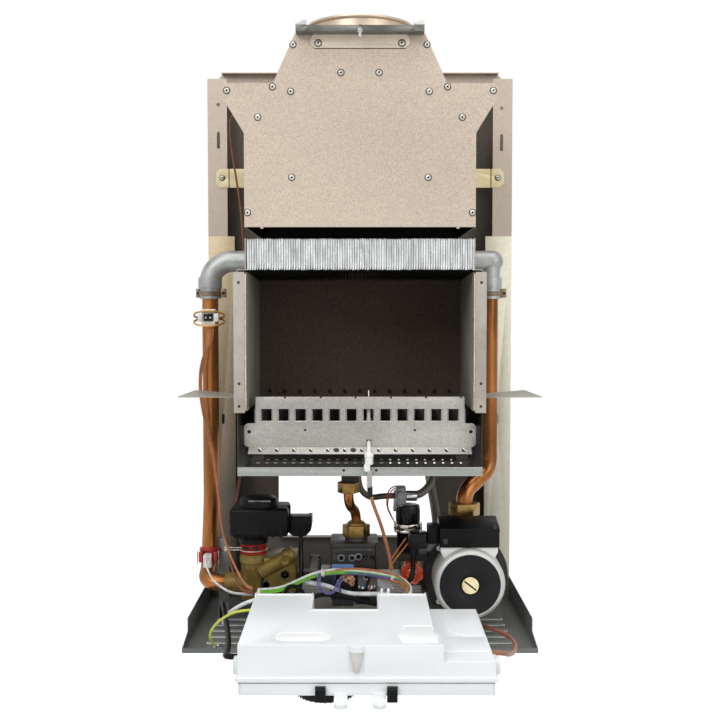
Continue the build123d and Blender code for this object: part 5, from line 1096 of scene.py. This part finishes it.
def build_pipe_sensors():
    """Thermostat on its sprung bail, and the red clip with its white plug at the pipe's foot."""
    case = coat(block((-214.5, -195.5), (149, 166), (403, 426), 1.6, 3), "cream_moulding")
    shoulders = [coat(block(x, (156, 168), (409, 420), 1), "cream_moulding") for x in ((-219, -213), (-197, -191))]
    centre = coat(block((-211.5, -198.5), (165, 169), (410, 420), 0.8), "glossy_black")
    pins = [coat(turned((x, 168, 414.5), OUT, [(1.3, 0), (1.3, 1.6)], 12), "screw_zinc") for x in (-208, -202)]
    bail = as_mesh(lead("bail", [(-216, 145, 414), (-226, 152, 414), (-225, 164, 421), (-205, 170, 424),
            (-185, 164, 421), (-184, 152, 414), (-194, 145, 414)], 1.3, "bail_brass", 3))
    under = as_mesh(lead("bail", [(-216, 145, 413), (-227, 152, 411), (-224, 165, 405), (-205, 170, 402.6),
            (-186, 165, 405), (-183, 152, 411), (-194, 145, 413)], 1.3, "bail_brass", 3))
    strap = coat(turned((-205, 145, 410), UP, [(11.1, 0), (12, 0.4), (12, 7.6), (11.1, 8)], 40), "bail_brass")
    axis = (0.0226, -0.169, 0.985)
    clip = coat(turned((-206.6, 156.9, 84), axis, [(13.4, 0), (14.2, 0.8), (14.2, 3.4), (12.6, 4.4), (12.6, 9),
            (14.4, 10), (14.4, 14), (13.2, 15.4)], 40), "clip_red")
    jaws = [coat(block(x, (160, 176), (82, 97), 1.4), "clip_red") for x in ((-219, -213.5), (-199.5, -194))]
    wires = [coat(turned((x, 172, 80), UP, [(0.9, 0), (0.9, 18)], 10), "screw_zinc") for x in (-221, -192)]
    plug = coat(block((-212, -201), (168, 182), (76, 94), 1.4), "cream_moulding")
    place([case, centre, bail, under, strap, clip, plug] + shoulders + pins + jaws + wires, "pipe_thermostats",
            "white_plastic", "pipe_sensors")


# ---------------------------------------------------------------- sheet details
def build_latch():
    """Casing latch with rounded edges and its studs; its forward flange is painted shade, and dark eyes round the
    screws and a line under the plate are painted shadow.
    """
    angle = coat(dressed("latch_bracket", 0.4), "latch_zinc", "painted_shade_steel", "rim_zinc")
    # painted shade: the flange in front of depth 309 takes the dark finish
    shade_faces(angle,
            lambda face: 2 if face.center.z > 0.7652 and abs(face.center.x) > 0.06 else face.center.y < -0.309)
    # painted shadow: dark rings round the two screws
    rings = [coat(turned((x, 307.4, 747.5), OUT, [(4.9, 0), (4.7, 0.3), (4.2, 0.3)], 28), "painted_shade_zinc")
            for x in (-50.5, 50.5)]
    # painted shadow: a dark line along the plate's lower edge
    rings.append(coat(block((-55.4, 55.4), (305.9, 306.3), (740.8, 741.5), 0), "painted_shade_brown"))
    rings += [coat(block((side * 64.3, side * 77), (322.4, 324.25), (765.3, 771), 0.2), "rim_zinc") for side in SIDES]
    rings.append(coat(turned((0, 321, 759), OUT, [(3.4, 0), (3.4, 5.2), (2.8, 6), (0.5, 6)], 28), "rim_zinc"))
    rings.append(coat(block((-1.6, 1.6), (322, 325.6), (750.5, 759), 0.8), "rim_zinc"))
    place([angle] + rings, "casing_latch", "zinc", "latch_bracket")


def build_tab_brackets():
    """Chromated tabs with rounded corners and a pressed rib; a thin strip of painted shade runs along each tab's
    fold.
    """
    sheet = coat(dressed("tab_brackets", 0.6, 3), "tab_chromate")
    low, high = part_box("tab_brackets")
    outer, foot, head = high[0] / MM, low[2] / MM, high[2] / MM
    for side in SIDES:
        for level, inwards in ((foot, 1), (head, -1)):
            corner = [
                (side * (outer + 1), level - inwards), (side * (outer - 5.5), level - inwards),
                (side * (outer - 5.5), level), (side * outer, level + inwards * 5.5),
                (side * (outer + 1), level + inwards * 5.5),
            ]
            cut(sheet, plate(corner, "front", 46, 10))
    # painted shade: a thin dark strip along each tab's fold
    folds = [coat(block((side * 188.6, side * 190), (51.2, 51.8), (601, 628), 0.2), "tail_brown") for side in SIDES]
    place([sheet] + folds, "side_tabs", "chromate", "tab_brackets")


def build_sheet_details():
    """Pressed lugs and edge folds on the hood, chamber and channels, and painted shadows of the burner's blades on
    the back board.
    """
    bright = []
    for side in SIDES:
        bright.append(coat(block((side * 117.5, side * 121.5), (305.6, 307), (524.5, 530), 0.4), "hood_zinc"))
        bright.append(coat(block((side * 139.5, side * 141.3), (300, 305.6), (302, 470), 0.3), "board_edge"))
    place(bright, "sheet_folds", "galvanised")
    # painted shadows: small dark triangles that the burner's blades cast on the back board
    points = []
    for index in range(13):
        x = -124.7 + 20.7 * index
        points.append(coat(plate([(x - 2.8, 310.5), (x + 2.8, 310.5), (x, 316)], "front", 129.2, 0.9),
                "glossy_black"))
    place(points, "blade_shadows_on_board", "fibre_board")


def two_shades(node, name, first, second, takes_second, slot):
    """Dressed sheet with a second finish on the faces that a test picks."""
    piece = coat(dressed(node, 0.3), first, second)
    shade_faces(piece, takes_second)
    place(piece, name, slot, node)


# ---------------------------------------------------------------- tray
def build_tray():
    """Painted tray with hooded louvres, bright slot edges and a rolled front lip; the bright strips on edges and lip
    are painted highlight.
    """
    sheet = coat(dressed("bottom_tray", 0.3), "tray_coat")
    hoods = []
    for row in range(6):
        depth = 166 + 26 * row
        for side in SIDES:
            x = (side * 22, side * 194)
            hoods.append(coat(block(x, (depth - 4.4, depth - 2.6), (1.2, 2.6), 0.5), "tray_coat"))
            # painted highlight: bright strips on the louvre edges and ends
            hoods.append(coat(block(x, (depth + 2.7, depth + 4.4), (1, 2.3), 0.4), "bare_metal_and_highlight"))
            hoods.append(coat(block((side * 192, side * 195.5), (depth - 3, depth + 3.4), (1.1, 2), 0.3),
                    "bare_metal_and_highlight"))
    # painted highlight: a bright strip along the rolled front lip
    lip = coat(block((-220, 220), (306.4, 307.6), (5.2, 6), 0.3), "bare_metal_and_highlight")
    for side in SIDES:
        hoods.append(coat(turned((side * 221.2 - 0.5 * side, 296, 5), (side, 0, 0),
                [(3.2, 0), (3.2, 0.3), (2.4, 0.5)], 20), "screw_zinc"))
    place([sheet, lip] + hoods, "drip_tray", "tray_paint", "bottom_tray")


# ---------------------------------------------------------------- control box
def build_box_cover():
    """Moulded rear cover: rounded edges, framed recesses, inset panel, boss, prongs and edge strips."""
    cover = coat(dressed("box_cover", 1.1, 3), "white_moulding")
    cut(cover, block((-14, 7), (531.3, 540), (48, 73.6), 0))
    parts = []
    corner = [(127 + 28 * cos(radians(180 + 90 * step / 8)), 413 - 28 * sin(radians(180 + 90 * step / 8)))
            for step in range(9)]
    outline = [(99, 334), (138, 334), (138, 441)] + corner[::-1]
    parts.append(plate(outline, "above", 61.4, 1.4, 0.5))
    parts.append(block((83, 138.5), (446, 496), (61.4, 62.9), 0.6))
    # painted light: the two recess floors are brighter copies of the white moulding
    bright = [
        plate([(50, 463), (76, 463), (82.4, 494), (82.4, 522.6), (44.6, 522.6), (41, 494.6)], "above", 78.2, 1, 0.4),
        plate([(-80, 485.6), (-41, 485.6), (-33, 490), (-31, 501), (-33, 512), (-41, 516.4), (-80, 516.4), (-88, 512),
            (-90, 501), (-88, 490)], "above", 78.2, 1, 0.4),
    ]
    for low, high in ((-126, -58), (23, 79)):
        parts.append(block((low, high), (331.3, 334.2), (79.2, 81.4), 0.9))
    for x in (-126.4, -57.4, 22.4, 79):
        parts.append(block((x - 0.8, x + 0.8), (331.4, 341), (79.2, 82.6), 0.5))
    parts.append(block((-57, 22), (397.4, 402.4), (79.4, 80.9), 0.6))
    for x in (26.5, 34.5):
        parts.append(turned((x, 326.5, 66), UP, [(1.8, 0), (1.8, 18.5), (1.2, 20)], 20))
    ear = turned((-3.5, 528, 73.2), UP, [(7.4, 0), (8.4, 0.8), (8.4, 4.6), (7.6, 5.8), (3, 6.2), (2.6, 5.4),
            (0.6, 5.4)], 40)
    parts.append(ear)
    cone = coat(turned((-3.5, 530.4, 50), UP, [(1.5, 0), (3.2, 1.4), (5.6, 14), (6.6, 23.4)], 40), "boss_shade")
    eye = coat(turned((-3.5, 528, 78.7), UP, [(2.5, 0), (2.5, 0.3)], 24), "knob_grey")
    white = coat(together([cover] + parts), "white_moulding")
    bright = coat(together(bright), "moulding_painted_light")
    ledge = coat(block((-55, 20), (394.6, 397.2), (46, 72), 0.6), "white_moulding")
    place([white, ledge, bright, cone, eye], "box_cover_finished", "white_plastic", "box_cover", body="control_box")


def build_box_shell():
    """Front shell with rounded edges, brown seam, pivot pins and ears with dark holes."""
    shell = coat(dressed("box_shell", 0.8, 2), "white_moulding")
    seam = coat(block((-126.6, 140.6), (330.8, 531.4), (39.4, 40.6), 0.3), "seam_brown")
    rims = [coat(turned((x, 545, 24.2), UP, [(4.4, 0), (4.2, 0.9), (2.3, 0.9)], 28), "white_moulding")
            for x in (-20, 20)]
    holes = [coat(turned((x, 545, 22), UP, [(2.2, 0), (2.2, 2.6)], 24), "knob_grey") for x in (-20, 20)]
    marks = []
    for x, size, count, first in ((-36.9, 38, 11, 135), (30, 20, 9, 0), (72, 20, 9, 0)):
        reach = DIALS + size
        dash = coat(block((x - 0.5, x + 0.5), (reach - 2.4, reach + 2.4), (26.6, 27.4), 0.1), "knob_grey")
        marks += ring_of(dash, count, (x, DIALS, 0), first, -270)
    for side, x in ((-1, -127), (1, 141)):
        rims.append(coat(block((x, x + side * 3.6), (497, 509), (43, 60), 1), "white_moulding"))
        # painted shade: a dark pin and slot in each side ear's hole
        holes.append(coat(turned((x + side * 1.8, 509, 56), OUT, [(1.5, -0.6), (1.5, 0.4)], 16), "painted_shade_zinc"))
        holes.append(coat(block((x + side * 0.6, x + side * 3.2), (508.6, 509.3), (47.4, 49.2), 0), "painted_shade_zinc"))
    eyes = [coat(turned((x, 324.2, 7.2), RIGHT, [(2.2, 0), (2.8, 0.5), (2.8, 5.5), (2.2, 6)], 24), "turned_steel")
            for x in (-112, 122)]
    place([shell, seam] + rims + holes + eyes + marks, "box_shell_finished", "white_plastic", "box_shell",
            body="control_box")
    black = coat(dressed("box_clips", 0.7, 2), "black_moulding")
    cut(black, block((-60, 60), (525, 545), (37, 50), 0))
    hooks = [coat(block((x - 5.5, x + 5.5), (531.2, 536.2), (34, 37.4), 0.8), "glossy_black") for x in (-41, 33.5)]
    black.data.materials.append(looks["white_moulding"])
    shade_faces(black, lambda face: abs(face.center.x) > 0.1)
    place([black] + hooks, "box_clips_finished", "black_plastic", "box_clips", body="control_box")


def build_knobs():
    """Dial and knobs with finger grips and pointers, on the side that faces the user once the box is shut."""
    rows = [
        ("main_dial", "dial", "black_plastic", "black_moulding", -36.9, 32, 36),
        ("heating_knob", "heating_control", "grey_plastic", "knob_grey", 30, 15, 20),
        ("water_knob", "water_control", "grey_plastic", "knob_grey", 72, 15, 20),
    ]
    for node, body, slot, look, x, size, count in rows:
        knob = coat(dressed(node, 0.8, 3), look)
        low = min(corner.co.z / MM for corner in knob.data.vertices)
        grip = coat(block((x - 0.6, x + 0.6), (DIALS + size - 1.2, DIALS + size), (low + 1.4, low + 9), 0.3), look)
        grips = ring_of(grip, count, (x, DIALS, 0))
        mark = coat(block((x - 0.9, x + 0.9), (DIALS + size * 0.35, DIALS + size * 0.9), (low, low + 0.7), 0.2),
                "white_moulding")
        place([knob, mark] + grips, node + "_finished", slot, node, body=body)


build_burner_plate()
build_burner_glints()
build_electrode()
build_pipe_clips()
build_pipe_sensors()
build_latch()
build_tab_brackets()
build_sheet_details()
# a place inside the hood: faces turned to it are the inner ones, which get painted shade
HOOD_MIDDLE = spot((0, 175, 640))
two_shades("hood_shell", "flue_hood_sides", "hood_zinc", "painted_shade_black",
        lambda face: face.normal.dot(face.center - HOOD_MIDDLE) < 0, "galvanised")
# painted light: the boards' inward side faces take the lighter copy, the rest stays dark
two_shades("insulation_boards", "chamber_boards", "dark_board", "side_board_painted_light",
        lambda face: abs(face.normal.x) > 0.9 and face.center.x * face.normal.x < 0, "fibre_board")
# painted shade: the support's faces behind depth 305, under the burner's lip, are near black
two_shades("burner_frame", "burner_support", "bar_zinc", "painted_shade_brown",
        lambda face: face.center.y > -0.3052 and abs(face.center.x) < 0.1505, "galvanised")
# painted shade: the left channel takes the darker copy of the channel finish
two_shades("lower_channels", "lower_side_channels", "left_channel_zinc", "channel_zinc",
        lambda face: face.center.x > 0, "galvanised")
build_tray()
build_box_cover()
build_box_shell()
build_knobs()


# ---------------------------------------------------------------- finishes of the CAD pieces
NODE_LOOKS = {
    # painted shade: the back panel, in shade behind everything, is dark zinc
    "painted_shade_zinc": "back_panel",
    "zinc_sheet": "top_crossbar upper_channels",
    "channel_zinc": "lower_channels",
    "rail_coat": "lower_rail",
    "tray_coat": "bottom_tray",
    "hood_zinc": "hood_front hood_shell",
    "spigot_zinc": "flue_spigot",
    "tab_chromate": "tab_brackets",
    "elbow_alloy": "elbows",
    "pipe_copper": "flow_pipe return_pipe",
    "chamber_zinc": "chamber_shell",
    "dark_board": "insulation_boards",
    "wing_zinc": "air_wings",
    "burner_plate_zinc": "burner_front",
    "blade_zinc": "burner_blades",
    "bar_zinc": "burner_frame",
    # painted shade: the gas rail deep under the burner is near black
    "painted_shade_brown": "gas_manifold",
    "vessel_grey": "expansion_vessel",
    "gas_copper": "gas_pipe",
    "turned_steel": "gas_valve_plunger valve_spindle pump_rotor",
    "exchanger_steel": "plate_exchanger",
    "knob_grey": "vent_float heating_knob water_knob",
    "nut_brass": "connection_tails pipe_nuts relief_valve",
    "print_board": "circuit_board",
    "clip_red": "reset_button",
    "screw_zinc": "hinge_brackets sheet_screws pipe_clips",
    "painted_shade_steel": "latch_bracket",
    "fin_silver": "fin_block",
    "cream_moulding": "pipe_sensors",
    "spark_ceramic": "ignition_electrode",
    "valve_alloy": "gas_valve_body",
    "black_moulding": "gas_valve_coils valve_motor box_clips main_dial",
    "block_brass": "hydraulic_block",
    "ring_red": "valve_ring",
    "cast_black": "pump_housing",
    "pump_silver": "pump_motor",
    "screw_brass": "vent_screw",
    "charcoal_moulding": "pump_terminal_box",
    "glossy_black": "air_vent",
    "wheel_red": "relief_handwheel",
    "white_moulding": "box_cover box_shell",
}


def finish_nodes():
    """Gives the CAD pieces that stay visible their finishes."""
    for look, names in NODE_LOOKS.items():
        for name in names.split():
            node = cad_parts[name]
            if not node.material_slots:
                node.data.materials.append(looks[look])
            for holder in node.material_slots:
                holder.material = looks[look]


finish_nodes()


# ---------------------------------------------------------------- floor and light
def make_floor():
    """Matt floor that the camera and mirrors see as near white."""
    bpy.ops.mesh.primitive_plane_add(size=12, location=(0, 0, -0.62))
    floor = bpy.context.object
    floor.name = "studio_floor"
    tree = surface("studio_floor")[0]
    tree.nodes.clear()
    path = add(tree, "LightPath").outputs
    seen = higher(tree, path["Is Camera Ray"], path["Is Glossy Ray"])
    level = add(tree, "Math", {0: seen, 1: 0.78}, operation="MULTIPLY").outputs["Value"]
    glow = add(tree, "Emission", {"Strength": level}).outputs["Emission"]
    matt = add(tree, "BsdfDiffuse", {"Color": (0.8, 0.8, 0.8, 1)}).outputs["BSDF"]
    both = add(tree, "AddShader", {0: matt, 1: glow}).outputs["Shader"]
    add(tree, "OutputMaterial", {"Surface": both})
    floor.data.materials.append(looks["studio_floor"])


def make_world():
    """Soft bluish light all round, seen as white."""
    world = bpy.data.worlds.new("studio")
    bpy.context.scene.world = world
    world.use_nodes = True
    tree = world.node_tree
    tree.nodes.clear()
    path = add(tree, "LightPath").outputs
    seen = higher(tree, higher(tree, path["Is Camera Ray"], path["Is Transmission Ray"]), path["Is Glossy Ray"])
    soft = add(tree, "Background", {"Color": (0.96, 0.98, 1, 1), "Strength": 0.42}).outputs["Background"]
    white = add(tree, "Background", {"Color": (1, 1, 1, 1), "Strength": 1}).outputs["Background"]
    choice = add(tree, "MixShader", {"Fac": seen, 1: soft, 2: white}).outputs["Shader"]
    add(tree, "OutputWorld", {"Surface": choice})


def make_lamp(name, where, aim, size, power):
    """Rectangular lamp turned to the place it aims at."""
    light = bpy.data.lights.new(name, "AREA")
    light.shape = "RECTANGLE"
    light.size, light.size_y = size
    light.energy = power
    lamp = bpy.data.objects.new(name, light)
    lamp.location = where
    lamp.rotation_euler = (Vector(aim) - Vector(where)).to_track_quat("-Z", "Y").to_euler()
    bpy.context.scene.collection.objects.link(lamp)


make_floor()
make_world()
make_lamp("key_left", (-1.3, -2.4, 1.9), (0, -0.2, 0.4), (1.6, 1.2), 31.5)
make_lamp("fill_right", (1.6, -2.2, 1.1), (0, -0.2, 0.35), (1.4, 1.4), 17)
make_lamp("top", (0, -0.9, 2.4), (0, -0.25, 0.3), (1.6, 1), 24)

bpy.context.scene.view_settings.view_transform = "Standard"
